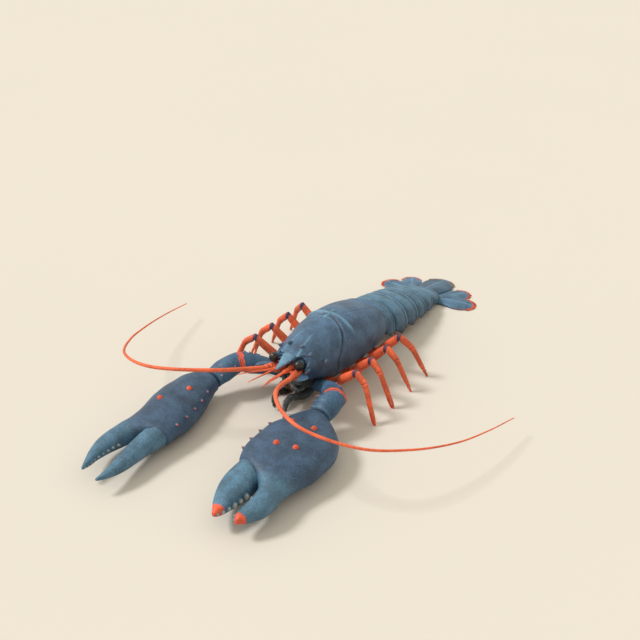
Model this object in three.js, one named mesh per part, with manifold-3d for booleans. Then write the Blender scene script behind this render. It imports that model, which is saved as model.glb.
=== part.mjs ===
// American lobster (Homarus americanus), life size, standing with its claws spread before it.
// Millimetres, +Z up. The floor is z = 0, the head looks along -Y and the left side is +X.
// The origin lies on the floor under the middle of the whole animal, antennae included.

import * as THREE from 'three';
import { LoftGeometry } from 'three/addons/geometries/LoftGeometry.js';
import { mergeVertices } from 'three/addons/utils/BufferGeometryUtils.js';
import Module from 'manifold-3d';

const wasm = await Module();
wasm.setup();

// Gap between pieces that meet, and how far a fused piece's root is sunk.
const GAP = 0.3;
const SINK = 1.6;

const UP = new THREE.Vector3(0, 0, 1);

// Sides of the animal: +1 is its left, -1 its right.
const LEFT = 1;
const RIGHT = -1;

// Back shell: from the front edge beside the eyes to the rear edge over the tail.
const SHELL_FRONT = -60;
const SHELL_REAR = 68;
const SHELL_HALF_WIDTH = profile(
  [-60, 17], [-45, 22.5], [-25, 28], [0, 31.5], [28, 33], [55, 31], [68, 27.5]
);
const SHELL_TOP = profile([-60, 55], [-40, 61], [-12, 65], [12, 66.5], [35, 62.5], [55, 57], [68, 53]);
const SHELL_WIDEST = profile([-60, 43], [-30, 39], [20, 36], [68, 35]);
const SHELL_EDGE_X = profile([-60, 12.5], [-40, 20], [-20, 23.5], [5, 26], [30, 27.5], [68, 24.5]);
const SHELL_EDGE_Z = profile([-60, 31], [-45, 27], [-30, 23], [-14, 20.8], [50, 20.8], [68, 24]);
const SHELL_UNDER = profile([-60, 34], [-45, 30], [-30, 26.5], [-14, 25], [50, 25], [68, 27]);
const SHELL_SKIRT = 2.2;
const BACK_ROUNDNESS = 0.92;
const SHELL_RINGS = [
  -60, -57, -50, -41, -31, -21, -12, -5, -1.2, 2, 5.2, 10, 18, 29, 40, 50, 58, 63, 65.4, 68
];

// Neck groove between two rims, which crosses the shell and sweeps forward down both sides, and
// the shallow groove before the rear edge.
const NECK_GROOVE = { y: 2, depth: 1.7, width: 1.6 };
const NECK_RIM = { distance: 3.2, height: 0.7, width: 2 };
const NECK_SWEEP = { forward: 24, fadeLength: 62, power: 1.7 };
const REAR_GROOVE = { y: 63, depth: 0.8, width: 1.6 };

// Beak between the eyes, with its side spines. It grows out of the shell a little below its top.
const BEAK_ROOT_Y = -48;
const BEAK_ROOT_DROP = 5;
const BEAK_TIP = [0, -80, 48];
const BEAK_ROOT_HALF = { wide: 9.5, high: 5.2 };
const BEAK_TIP_HALF = 0.6;
const BEAK_SHARES = [0, 0.35, 0.6, 0.82, 1];
const BEAK_SPINES = { shares: [0.5, 0.65, 0.8], lengths: [3.4, 2.9, 2.4], radius: 1.3, inset: 0.7 };

// Spines of the front of the shell, on its left side.
const FRONT_SPINES = [
  { at: [17.6, -57, 41], lean: [0.25, -1, 0.05], length: 6, radius: 2 },
  { at: [16, -50, 53.6], lean: [0.35, -1, 0.45], length: 4.5, radius: 1.7 },
  { at: [7, -50, 59.3], lean: [0.1, -1, 0.5], length: 4, radius: 1.6 },
  { at: [24.5, -38, 44], lean: [0.6, -1, 0.2], length: 3.6, radius: 1.6 }
];

// Breast under the shell, which carries the limbs.
const BREAST_RINGS = [-56, -48, -40, -30, -20, 0, 22, 44, 56, 64];
const BREAST_BOTTOM = profile([-56, 17], [-40, 12.5], [-20, 10.5], [45, 10.5], [64, 14]);
const BREAST_INSET = 5;
const BREAST_BEVEL = 5;
const BREAST_TOP_GAP = 0.5;

// Eyes, the sockets they sit in, and their stalks. The left eye's stalk starts at STALK_ROOT.
const EYE_CENTRE = [13.8, -64.5, 48.7];
const EYE_RADIUS = 4.7;
const EYE_FLAT_BEHIND = 3.4;
const SOCKET_CENTRE = [11.8, -55, 47.6];
const SOCKET_RADIUS = 6;
const SOCKET_REACH = 30;
const STALK_RADIUS = 3.2;
const STALK_ROOT = [9.8, SOCKET_CENTRE[1] - GAP, 46.6];

// Long antennae: the line of the left one, the thick stem it grows from, and its thickness.
const ANTENNA_LINE = [
  [8.9, -56.5, 36.2], [33.8, -125.4, 59], [77.2, -155.2, 62.8], [123.6, -140.9, 52.6],
  [152.2, -107.3, 42.2], [171.8, -65.4, 31.7], [181.9, -28.5, 25.1], [188.9, 11, 18.3]
];
const ANTENNA_LENGTHS = 3;
const ANTENNA_STEPS = 14;
const ANTENNA_ROOT_RADIUS = 2.3;
const ANTENNA_TIP_RADIUS = 0.45;
const ANTENNA_TAPER = 0.8;
const STEM_ROOT = [9.8, SHELL_FRONT - GAP, 37];
const STEM_LENGTH = 22;
const STEM_RADIUS = 4.7;
const STEM_SIZES = [[0.46, 0.96], [0.52, 0.82], [0.76, 0.78], [0.8, 0.66], [1, 0.6]];

// Leaf-shaped scale beside the left antenna: x, y, z and half width of each stop.
const SCALE_STOPS = [
  [16.6, SHELL_FRONT - 3 * GAP, 39.6, 1.4], [19.6, -64, 40.4, 3.2], [21.9, -69, 41.6, 4.2],
  [22.8, -74, 42.8, 3.2], [23, -80, 44.4, 0.7]
];
const SCALE_HALF_THICKNESS = 0.8;

// Left short antenna: x, y, z and radius along its stem and its two whips.
const ANTENNULE_STEM = [
  [4.4, SHELL_FRONT - GAP, 43, 2.3], [4.6, -65, 43.4, 2.2], [4.9, -70, 43.9, 1.9], [5.2, -76, 44.8, 1.8]
];
const ANTENNULE_WHIPS = [
  [[5.6, -74, 44.6, 1], [7.6, -84, 47, 0.95], [10.6, -96, 50.6, 0.8], [13.2, -106, 53.6, 0.6],
    [15, -114.4, 55.6, 0.35]],
  [[4.8, -74, 44.4, 0.95], [5, -84, 45.8, 0.9], [5.4, -94, 47.2, 0.75], [6.4, -103, 48, 0.55],
    [7.6, -110, 48, 0.35]]
];

// Left mouth limb: x, y, z, half width and half height of each stop.
const MOUTH_LIMB_STOPS = [
  [9, -36, 14, 4, 4], [9, -43, 8.4, 4.2, 4], [8.6, -54, 9, 3.9, 3.8], [8, -64, 13.4, 3.5, 3.4],
  [7.4, -69.5, 15.4, 3, 3], [7, -74, 12.6, 2.7, 2.6], [6.6, -76, 7, 2, 2], [6.4, -75.5, 2.6, 1, 1]
];

// Tail: where its six rings part, and the shape of the whole tail along its length.
const TAIL_PARTINGS = [68.15, 81, 106, 130, 152, 173, 199];
const TAIL_HALF_WIDTH = profile(
  [68, 26], [92, 29], [118, 28.3], [140, 27], [162, 25], [186, 21.5], [199, 18]
);
const TAIL_TOP = profile([68, 51.5], [87, 47], [118, 40], [143, 33.5], [163, 27], [180, 20], [199, 12]);
const TAIL_WIDEST = profile([68, 26], [106, 20.5], [130, 17.5], [152, 14.5], [173, 10.5], [199, 6]);
const TAIL_LOBE_TIP = profile([76, 17], [104, 8.5], [128, 7], [150, 5.5], [171, 4], [197, 2]);
const TAIL_UNDER_DROP = 1.5;
const TAIL_SHARES = [0, 0.13, 0.2, 0.5, 0.82, 0.92, 1];
const TAIL_LOBE = profile([0.1, 0], [0.45, 0.62], [0.82, 1], [0.93, 0.7], [1, 0.25]);
const TAIL_LOBE_ROOT_DROP = 4;
const TAIL_EDGE_SHARE = 0.93;
const TAIL_SKIRT = 1.1;
const TAIL_NECK = { share: 0.15, scale: 0.93 };
const TAIL_CROWN = 0.012;

// Swimmerets under the middle rings of the tail: each leaf's place from the middle and lean, and
// the stops that it hangs through, as shares of its length down and of its lean, and sizes.
const SWIMMERET_LENGTH = 15;
const SWIMMERET_FLOOR_GAP = 2.6;
const SWIMMERET_LEAVES = [[9.2, -1.6], [15.6, 2.2]];
const SWIMMERET_STOPS = [
  { down: 0.25, lean: 0, back: 0, wide: 2.6, high: 1.3 },
  { down: 0.65, lean: 0.5, back: 3, wide: 3, high: 1 },
  { down: 1, lean: 1, back: 6, wide: 1.2, high: 0.6 }
];
const SWIMMERET_ROOT = { wide: 2.2, high: 1.6, forward: 1 };

// Stub at the left rear corner of the last tail ring: x, y, z, half width and half height.
const FAN_ROOT_STOPS = [
  [13.5, 190, 5.2, 4.2, 3], [16.5, 198, 4.4, 5, 2.9], [18.2, 203, 3.8, 4.6, 2.5], [19, 205.5, 3.6, 3, 1.8]
];

// Tail fan: each blade's root, the way it points away from straight back, and its size.
const TELSON = {
  root: [0, 199.15, 3.2], angle: 0, length: 50.8, half: 17.5, rootHalf: 12.5, thick: 7.6, tip: 2, step: 0
};
const INNER_BLADE = {
  root: [15, 199, 1.4], angle: 31, length: 42, half: 12.2, rootHalf: 6, thick: 4.4, tip: 2, step: 0
};
const OUTER_BLADE = {
  root: [17.5, 197, 1.2], angle: 70, length: 41, half: 13, rootHalf: 6, thick: 4.4, tip: 2.2, step: 0.6
};
const FAN_DIP = 0.3;
const BLADE_SHARES = [0, 0.12, 0.3, 0.5, 0.68, 0.8, 0.82, 0.9, 0.96, 0.99, 1];
const BLADE_WIDEST = 0.62;
const BLADE_STEP_FROM = 0.81;
const BLADE_RIB = 0.9;
const BLADE_SECTION = { edge: 0.5, flank: 0.92, flankAt: 0.55, ribAt: 0.14 };
const BLADE_COLUMN = { below: 12, lift: 24 };

// Walking legs, front to back: root, knee, ankle and foot of each left leg.
const LEG_ROOT_Y = [-24, -1, 22, 44];
const LEG_KNEE = [[57, -37, 42.5], [57, -10.8, 42.5], [57, 15.8, 42.5], [57, 40.5, 42.5]];
const LEG_ANKLE = [[68, -39.4, 34.4], [68, -13.2, 33], [68, 16.5, 32], [68, 46, 31]];
const LEG_FOOT = [[82, -44.9, 0], [82, -12.3, 0], [82, 21.5, 0], [82, 53.9, 0]];
const LEG_PINCERS = [true, true, false, false];
const LEG_ROOT_X = 14;
const LEG_FACING_X = 25;
const LEG_ROOT_Z = 14.4;
const LEG_ROOT_RADIUS = 4.3;
const LEG_COXA = { out: 6, up: 0.5, forward: 0.12 };
const LEG_HIP = { out: 12.5, up: 4.2, forward: 0.28, wide: 3.9, high: 3.6 };
const LEG_THIGH_STOPS = [[0.22, 3.7, 4.3], [0.6, 3.4, 4.1], [0.9, 3.1, 3.7], [1, 3.1, 3.8]];

// Pincer finger of a front leg: share of the way to the floor, shift from the middle, half sizes.
const PINCER_STOPS = [
  [0.6, 1.3, 1.7, 1.3], [0.75, 1.75, 1.4, 1.15], [0.9, 1.5, 1.15, 1], [1, 1, 0.9, 0.7]
];

// Arms of the two claws, with half sizes along each length as [share, wide, high].
const ARM_ROOT = [15, -37, 14.6];
const ARM_SHOULDER = [32, -45.5, 22.5];
const ARM_ELBOW = [53.7, -65.5, 30.5];
const ARM_ROOT_SIZES = [[0, 7, 6], [0.35, 6.6, 5.6], [0.7, 7, 6.2], [1, 8, 7]];
const UPPER_ARM_SIZES = [[0, 7.6, 6.8], [0.2, 8.6, 8], [0.5, 9.6, 9], [0.72, 10, 9.8], [1, 11, 10.2]];
const UPPER_ARM_SPINES = {
  shares: [0.42, 0.62, 0.78], lengths: [2.6, 3.2, 3.8], radius: 1.8, inward: 5, up: 7.2
};
const WRIST_SIZES = [[0, 10, 9.4], [0.3, 11, 10.2], [0.55, 11.6, 10.2], [0.74, 11, 9], [1, 9, 8]];
const WRIST_SPINES = {
  shares: [0.4, 0.62, 0.84], lengths: [4.4, 3.9, 3.4], radius: 2.1, inward: 8.6, up: 4.8
};
const WRIST_ARCH = 1.6;

// The heavy claw with blunt teeth. Reach is measured forward from its wrist, offsets away from
// the middle of the animal, and each finger stop is [offset, reach, half width, half height].
const CRUSHER = {
  name: 'crusher',
  side: LEFT,
  wrist: [50.5, -88, 20],
  centreHeight: 17,
  outerEdge: profile([0, 10], [9, 23.5], [22, 36], [40, 41.5], [62, 41], [78, 36.5], [100, 32.5]),
  innerEdge: profile([0, -10.5], [15, -20.5], [37, -28.6], [62, -28], [80, -22.5], [100, -15]),
  halfHeight: profile([0, 9], [17, 14], [40, 17.4], [62, 17.2], [82, 14], [100, 10.5]),
  palmLength: 98,
  hingeInner: [-21, 82],
  hingeOuter: [12.5, 99],
  fixedFinger: [
    [22, 80, 13, 11.6], [22.6, 97, 10.8, 10], [25.4, 108, 9.8, 9.2], [26, 118, 8.8, 8.2],
    [24.2, 127, 7.2, 6.8], [22.2, 134.5, 4.8, 4.8], [21.6, 140, 1.6, 1.8]
  ],
  movingFinger: [
    [-4, 91.5, 14.6, 12], [-3.6, 103, 14, 11], [-2.4, 112, 12.8, 9.8], [-0.8, 121, 10.8, 8.4],
    [0.8, 129.5, 8, 6.6], [2.4, 137, 4.8, 4.6], [3, 143, 1.6, 1.8]
  ],
  teeth: { count: 6, radius: 3.4, height: 3.4, blunt: 0.55 },
  knobs: [[2.3, 62.4], [18.4, 58.3], [15.3, 28.3], [-6.1, 29.6]]
};

// The slender claw with sharp teeth.
const CUTTER = {
  name: 'cutter',
  side: RIGHT,
  wrist: [66.5, -93, 19],
  centreHeight: 15.2,
  outerEdge: profile([0, 10.5], [8, 21], [19, 26], [32, 27], [48, 26], [76, 19.5], [100, 16.5]),
  innerEdge: profile([0, -10.5], [15, -14.5], [38, -22], [62, -26.4], [80, -26.4], [100, -20]),
  halfHeight: profile([0, 9], [17, 13], [42, 15.6], [62, 15.2], [82, 12], [100, 9]),
  palmLength: 94,
  hingeInner: [-27, 84],
  hingeOuter: [-2.5, 97],
  fixedFinger: [
    [9, 76, 11, 10.5], [10, 96, 10.6, 9.6], [11.6, 109, 9.6, 8.6], [12.4, 122, 7.8, 7.2],
    [10.4, 135, 5.4, 5.4], [6.8, 146, 3, 3.4], [4.4, 153.5, 0.9, 1]
  ],
  movingFinger: [
    [-14.6, 91.5, 11, 10], [-14.4, 104, 9.2, 8.6], [-15.4, 117, 8, 7.4], [-17, 130, 6.6, 6.2],
    [-17.6, 141, 4.7, 4.7], [-16.6, 150, 2.7, 2.9], [-14.8, 157.5, 0.9, 1]
  ],
  teeth: { count: 9, radius: 1.7, height: 3, blunt: 0.2 },
  knobs: [[-3.9, 32.7], [7.4, 58]]
};

// What both claws share.
const PALM_REACHES = [0, 4, 9, 16, 25, 36, 48, 60, 71, 81, 90];
const PALM_LEVELS_BY = 30;
const PALM_SQUARENESS = 0.9;
const FINGER_SQUARENESS = 0.85;
const FIXED_TEETH_FROM = 0.4;
const MOVING_TEETH_FROM = 0.34;
const TEETH_TO = 0.93;
const SMALLER_TOOTH = 0.86;
const KNOB_RADIUS = 2.6;
const EDGE_SPINES = { count: 5, from: 20, to: 72, inset: 3, sunk: 1, length: 3.6, radius: 2.4 };

// Colours.
const SHELL_BLUE = finish(0x46617f, 0.42);
const LIGHT_BLUE = finish(0x5a7f9c, 0.42);
const ARM_BLUE = finish(0x44617e, 0.42);
const BREAST_SLATE = finish(0x3e4648, 0.6);
const LEG_ORANGE = finish(0xdb5c3c, 0.45);
const EYE_BLACK = finish(0x1b1917, 0.15);

// A painted shell finish.
function finish(color, roughness) {
  return { color, roughness, metalness: 0 };
}

// A smooth curve through a few [place, size] pairs, with no overshoot and level past its ends.
function profile(...pairs) {
  const chord = i => (pairs[i + 1][1] - pairs[i][1]) / (pairs[i + 1][0] - pairs[i][0]);
  const last = pairs.length - 1;
  const slopes = pairs.map((pair, i) => {
    const before = chord(Math.max(i - 1, 0));
    const after = chord(Math.min(i, last - 1));
    return before * after > 0 ? 2 * before * after / (before + after) : 0;
  });
  return place => {
    const clamped = THREE.MathUtils.clamp(place, pairs[0][0], pairs[last][0]);
    let i = 0;
    while (i < last - 1 && clamped > pairs[i + 1][0]) i += 1;
    const span = pairs[i + 1][0] - pairs[i][0];
    const t = (clamped - pairs[i][0]) / span;
    const startPart = (1 + 2 * t) * (1 - t) ** 2 * pairs[i][1] + t * (1 - t) ** 2 * span * slopes[i];
    const endPart = t * t * (3 - 2 * t) * pairs[i + 1][1] + t * t * (t - 1) * span * slopes[i + 1];
    return startPart + endPart;
  };
}

function vector([x, y, z]) {
  return new THREE.Vector3(x, y, z);
}

// The same point on the given side of the animal.
function onSide(side, [x, y, z]) {
  return new THREE.Vector3(side * x, y, z);
}

// A closed geometry as a solid.
function solid(geometry) {
  const bare = new THREE.BufferGeometry();
  bare.setAttribute('position', geometry.getAttribute('position').clone());
  if (geometry.index) bare.setIndex(geometry.index.clone());
  const merged = mergeVertices(bare, 1e-4);
  const corners = merged.index.array;
  const triangles = [];
  for (let i = 0; i < corners.length; i += 3) {
    const [a, b, c] = [corners[i], corners[i + 1], corners[i + 2]];
    if (a !== b && b !== c && c !== a) triangles.push(a, b, c);
  }
  return new wasm.Manifold(new wasm.Mesh({
    numProp: 3,
    vertProperties: new Float32Array(merged.attributes.position.array),
    triVerts: new Uint32Array(triangles)
  }));
}

// Pieces grown together; only the largest closed surface is kept.
function fuse(main, pieces) {
  let body = main;
  for (const piece of pieces) body = body.add(piece);
  return largest(body);
}

function largest(body) {
  const surfaces = body.decompose();
  return surfaces.reduce((best, next) => (next.volume() > best.volume() ? next : best));
}

function geometryOf(body) {
  const mesh = body.getMesh();
  const geometry = new THREE.BufferGeometry();
  geometry.setAttribute('position', new THREE.Float32BufferAttribute(mesh.vertProperties, 3));
  geometry.setIndex(Array.from(mesh.triVerts));
  geometry.computeVertexNormals();
  return geometry;
}

function node(name, body, look) {
  const mesh = new THREE.Mesh(geometryOf(body), new THREE.MeshStandardMaterial(look));
  mesh.name = name;
  return mesh;
}

// A block between two opposite corners.
function block(low, high) {
  const size = high.map((value, i) => value - low[i]);
  const geometry = new THREE.BoxGeometry(...size);
  geometry.translate(...low.map((value, i) => value + size[i] / 2));
  return solid(geometry);
}

// Everything below the floor, cut off what rests on it.
const UNDERGROUND = block([-300, -300, -60], [300, 300, 0]);

// A closed skin over rings, which are turned the way that makes its faces point outward.
function skin(rings) {
  const middle = ring => {
    const sum = new THREE.Vector3();
    for (const point of ring) sum.add(point);
    return sum.divideScalar(ring.length);
  };
  const [first, second] = rings;
  const start = middle(first);
  const turn = new THREE.Vector3();
  first.forEach((point, i) => {
    const next = first[(i + 1) % first.length];
    turn.add(new THREE.Vector3().crossVectors(point.clone().sub(start), next.clone().sub(start)));
  });
  const forward = turn.dot(middle(second).sub(start)) > 0;
  const wound = forward ? rings : rings.map(ring => [...ring].reverse());
  return solid(new LoftGeometry(wound, { closed: true, capStart: true, capEnd: true }));
}

// A rounded-square oval ring about a centre, in the plane of two unit vectors.
function oval(centre, across, up, halfWidth, halfHeight, sides, squareness = 1) {
  const ring = [];
  for (let i = 0; i < sides; i += 1) {
    const angle = 2 * Math.PI * (i + 0.5) / sides;
    const c = Math.sign(Math.cos(angle)) * Math.abs(Math.cos(angle)) ** squareness;
    const s = Math.sign(Math.sin(angle)) * Math.abs(Math.sin(angle)) ** squareness;
    ring.push(centre.clone().addScaledVector(across, c * halfWidth).addScaledVector(up, s * halfHeight));
  }
  return ring;
}

// A limb: oval rings square to a path. Each stop is { at, wide, high }, in half sizes. The ends
// may be turned to face a neighbour.
function limb(stops, { sides = 8, startFacing, endFacing, squareness = 1, across } = {}) {
  const last = stops.length - 1;
  const rings = stops.map((stop, i) => {
    const facing = stops[Math.min(i + 1, last)].at.clone().sub(stops[Math.max(i - 1, 0)].at).normalize();
    if (i === 0 && startFacing) facing.copy(startFacing).normalize();
    if (i === last && endFacing) facing.copy(endFacing).normalize();
    const level = across ? across.clone() : facing.clone().cross(UP);
    level.addScaledVector(facing, -level.dot(facing)).normalize();
    const up = new THREE.Vector3().crossVectors(level, facing).normalize();
    return oval(stop.at, level, up, stop.wide, stop.high, sides, squareness);
  });
  return skin(rings);
}

// A spine or blunt tooth whose root is sunk in what carries it.
function spine(at, direction, length, radius, { sides = 5, blunt = 0 } = {}) {
  const whole = length + SINK;
  const geometry = blunt > 0
    ? new THREE.CylinderGeometry(radius * blunt, radius, whole, sides)
    : new THREE.ConeGeometry(radius, whole, sides);
  geometry.translate(0, whole / 2 - SINK, 0);
  geometry.applyQuaternion(new THREE.Quaternion().setFromUnitVectors(
    new THREE.Vector3(0, 1, 0), direction.clone().normalize()
  ));
  geometry.translate(at.x, at.y, at.z);
  return solid(geometry);
}

// A low rounded knob half sunk in the shell.
function knob(at, radius) {
  const geometry = new THREE.SphereGeometry(radius, 7, 5);
  geometry.translate(at.x, at.y, at.z);
  return solid(geometry);
}

// One ring across shell or tail: over the back from one lower edge to the other, then along the
// underside between the two skirts.
function arch(y, sizes) {
  const { halfWidth, top, widest, edgeX, edgeZ, under, underX, skirt, sweep, backSteps, edgeSteps } = sizes;
  const ring = [];
  const add = (x, z, share) => ring.push(new THREE.Vector3(x, y + sweep(share), z));
  const addEdge = (side, share) => {
    const turn = share * Math.PI / 2;
    const x = halfWidth - (halfWidth - edgeX) * (1 - Math.cos(turn));
    add(side * x, widest - (widest - edgeZ) * Math.sin(turn), 1);
  };
  for (let i = 0; i < edgeSteps; i += 1) addEdge(1, 1 - i / edgeSteps);
  for (let i = 0; i <= backSteps; i += 1) {
    const turn = (i / backSteps - 0.5) * Math.PI;
    const lean = Math.abs(Math.sin(turn)) ** BACK_ROUNDNESS;
    const rise = Math.cos(turn) ** BACK_ROUNDNESS;
    const z = widest + (top - widest) * Math.max(rise, 0);
    add(-Math.sign(turn) * halfWidth * lean, z, Math.abs(turn) * 2 / Math.PI);
  }
  for (let i = 1; i <= edgeSteps; i += 1) addEdge(-1, i / edgeSteps);
  ring.push(
    new THREE.Vector3(-edgeX + skirt, y + sweep(1), edgeZ),
    new THREE.Vector3(-underX, y, under),
    new THREE.Vector3(underX, y, under),
    new THREE.Vector3(edgeX - skirt, y + sweep(1), edgeZ)
  );
  return ring;
}

function bump(distance, width) {
  return Math.exp(-((distance / width) ** 2));
}

// Half width of the beak at a share of the way from its root to its tip.
function beakHalfWidth(share) {
  return THREE.MathUtils.lerp(BEAK_ROOT_HALF.wide, BEAK_TIP_HALF, share ** 1.1);
}

// Back shell with the neck groove, beak, eye sockets and front spines.
function shell() {
  const rings = SHELL_RINGS.map(y => {
    const fromGroove = y - NECK_GROOVE.y;
    const rims = bump(fromGroove - NECK_RIM.distance, NECK_RIM.width)
      + bump(fromGroove + NECK_RIM.distance, NECK_RIM.width);
    const swell = NECK_RIM.height * rims - NECK_GROOVE.depth * bump(fromGroove, NECK_GROOVE.width)
      - REAR_GROOVE.depth * bump(y - REAR_GROOVE.y, REAR_GROOVE.width);
    const toEnd = Math.min(y - SHELL_FRONT, SHELL_REAR - y);
    const sweepHere = -NECK_SWEEP.forward * THREE.MathUtils.smoothstep(toEnd, 0, NECK_SWEEP.fadeLength);
    const atSide = y + sweepHere;
    return arch(y, {
      halfWidth: SHELL_HALF_WIDTH(atSide) + swell,
      top: SHELL_TOP(y) + swell,
      widest: SHELL_WIDEST(atSide),
      edgeX: SHELL_EDGE_X(atSide),
      edgeZ: SHELL_EDGE_Z(atSide),
      underX: SHELL_EDGE_X(y) - 2 * SHELL_SKIRT,
      under: SHELL_UNDER(y),
      skirt: SHELL_SKIRT,
      sweep: share => sweepHere * share ** NECK_SWEEP.power,
      backSteps: 16,
      edgeSteps: 4
    });
  });
  let body = skin(rings);
  const beakRoot = new THREE.Vector3(0, BEAK_ROOT_Y, SHELL_TOP(BEAK_ROOT_Y) - BEAK_ROOT_DROP);
  const beakTip = vector(BEAK_TIP);
  const beakStops = BEAK_SHARES.map(t => ({
    at: beakRoot.clone().lerp(beakTip, t),
    wide: beakHalfWidth(t),
    high: THREE.MathUtils.lerp(BEAK_ROOT_HALF.high, BEAK_TIP_HALF, t ** 0.8)
  }));
  const extras = [limb(beakStops, { sides: 8 })];
  for (const side of [LEFT, RIGHT]) {
    BEAK_SPINES.shares.forEach((t, i) => {
      const at = beakRoot.clone().lerp(beakTip, t);
      at.x = side * (beakHalfWidth(t) - BEAK_SPINES.inset);
      const lean = new THREE.Vector3(side * 0.55, -1, 0.35);
      extras.push(spine(at, lean, BEAK_SPINES.lengths[i], BEAK_SPINES.radius));
    });
  }
  body = fuse(body, extras);
  for (const side of [LEFT, RIGHT]) {
    const socket = new THREE.CylinderGeometry(SOCKET_RADIUS, SOCKET_RADIUS, SOCKET_REACH, 16);
    const [x, y, z] = SOCKET_CENTRE;
    socket.translate(side * x, y - SOCKET_REACH / 2, z);
    body = body.subtract(solid(socket));
  }
  const spines = [];
  for (const side of [LEFT, RIGHT]) {
    for (const { at, lean, length, radius } of FRONT_SPINES) {
      spines.push(spine(onSide(side, at), onSide(side, lean), length, radius));
    }
  }
  return fuse(body, spines);
}

// Breast between the skirts of the shell. `grow` swells it, to cut what meets it.
function breast(grow = 0) {
  const rings = BREAST_RINGS.map((y, i, all) => {
    const place = i === 0 ? y - grow : i === all.length - 1 ? y + grow : y;
    const halfWidth = SHELL_EDGE_X(y) - BREAST_INSET + grow;
    const top = SHELL_UNDER(y) - BREAST_TOP_GAP + grow;
    const bottom = BREAST_BOTTOM(y) - grow;
    const rise = Math.min(BREAST_BEVEL, (top - bottom) * 0.35);
    return [
      [halfWidth, top], [-halfWidth, top], [-halfWidth, bottom + rise],
      [-halfWidth + BREAST_BEVEL, bottom], [halfWidth - BREAST_BEVEL, bottom], [halfWidth, bottom + rise]
    ].map(([x, z]) => new THREE.Vector3(x, place, z));
  });
  return skin(rings);
}

// Eye: a ball cut flat where it meets the stalk.
function eyeParts(side) {
  const centre = onSide(side, EYE_CENTRE);
  const root = onSide(side, STALK_ROOT);
  const outward = centre.clone().sub(root).normalize();
  const ball = new THREE.SphereGeometry(EYE_RADIUS, 12, 8);
  ball.translate(centre.x, centre.y, centre.z);
  const backOfEye = centre.clone().addScaledVector(outward, -EYE_FLAT_BEHIND);
  const stalk = limb([
    { at: root, wide: STALK_RADIUS * 0.9, high: STALK_RADIUS * 0.9 },
    { at: root.clone().lerp(backOfEye, 0.5), wide: STALK_RADIUS * 0.85, high: STALK_RADIUS * 0.85 },
    { at: backOfEye, wide: STALK_RADIUS, high: STALK_RADIUS }
  ], { sides: 12, startFacing: new THREE.Vector3(0, -1, 0), endFacing: outward });
  const clear = 2 * EYE_RADIUS;
  const behind = limb([
    { at: backOfEye.clone().addScaledVector(outward, -clear), wide: clear, high: clear },
    { at: backOfEye.clone().addScaledVector(outward, GAP), wide: clear, high: clear }
  ], { sides: 4 });
  return { ball: largest(solid(ball).subtract(behind)), stalk };
}

// The line of one long antenna.
function antennaLine(side) {
  return new THREE.CatmullRomCurve3(ANTENNA_LINE.map(point => onSide(side, point)), false, 'centripetal');
}

function antennaStem(side) {
  const line = antennaLine(side);
  const whole = line.getLength();
  const stops = [{ at: onSide(side, STEM_ROOT), wide: STEM_RADIUS, high: STEM_RADIUS }];
  for (const [share, size] of STEM_SIZES) {
    const radius = STEM_RADIUS * size;
    stops.push({ at: line.getPointAt(share * STEM_LENGTH / whole), wide: radius, high: radius });
  }
  const endFacing = line.getTangentAt(STEM_LENGTH / whole);
  return limb(stops, { sides: 10, startFacing: new THREE.Vector3(0, -1, 0), endFacing });
}

// One length of a long antenna's whip, tapering towards its tip.
function antennaLength(side, index) {
  const line = antennaLine(side);
  const whole = line.getLength();
  const first = STEM_LENGTH / whole;
  const share = (1 - first) / ANTENNA_LENGTHS;
  const from = first + share * index + GAP / whole;
  const to = first + share * (index + 1);
  const stops = [];
  for (let i = 0; i <= ANTENNA_STEPS; i += 1) {
    const t = THREE.MathUtils.lerp(from, to, i / ANTENNA_STEPS);
    const thinned = ((t - first) / (1 - first)) ** ANTENNA_TAPER;
    const radius = THREE.MathUtils.lerp(ANTENNA_ROOT_RADIUS, ANTENNA_TIP_RADIUS, thinned);
    stops.push({ at: line.getPointAt(t), wide: radius, high: radius });
  }
  return limb(stops, { sides: 7, startFacing: line.getTangentAt(from), endFacing: line.getTangentAt(to) });
}

// Leaf-shaped scale beside each long antenna.
function antennaScale(side) {
  const stops = SCALE_STOPS.map(([x, y, z, wide]) => (
    { at: onSide(side, [x, y, z]), wide, high: SCALE_HALF_THICKNESS }
  ));
  return limb(stops, { sides: 8, startFacing: new THREE.Vector3(0, -1, 0) });
}

// Short antenna: a jointed stem that forks into two thin whips.
function antennule(side) {
  const tube = (points, sides) => limb(points.map(([x, y, z, radius]) => (
    { at: onSide(side, [x, y, z]), wide: radius, high: radius }
  )), { sides, startFacing: new THREE.Vector3(0, -1, 0) });
  return fuse(tube(ANTENNULE_STEM, 8), ANTENNULE_WHIPS.map(points => tube(points, 6)));
}

// Jointed mouth limb that reaches forward under the head and folds down at its end.
function mouthLimb(side) {
  const stops = MOUTH_LIMB_STOPS.map(([x, y, z, wide, high]) => (
    { at: onSide(side, [x, y, z]), wide, high }
  ));
  return largest(limb(stops, { sides: 8, across: new THREE.Vector3(1, 0, 0) }).subtract(BREAST_CUTTER));
}

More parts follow.
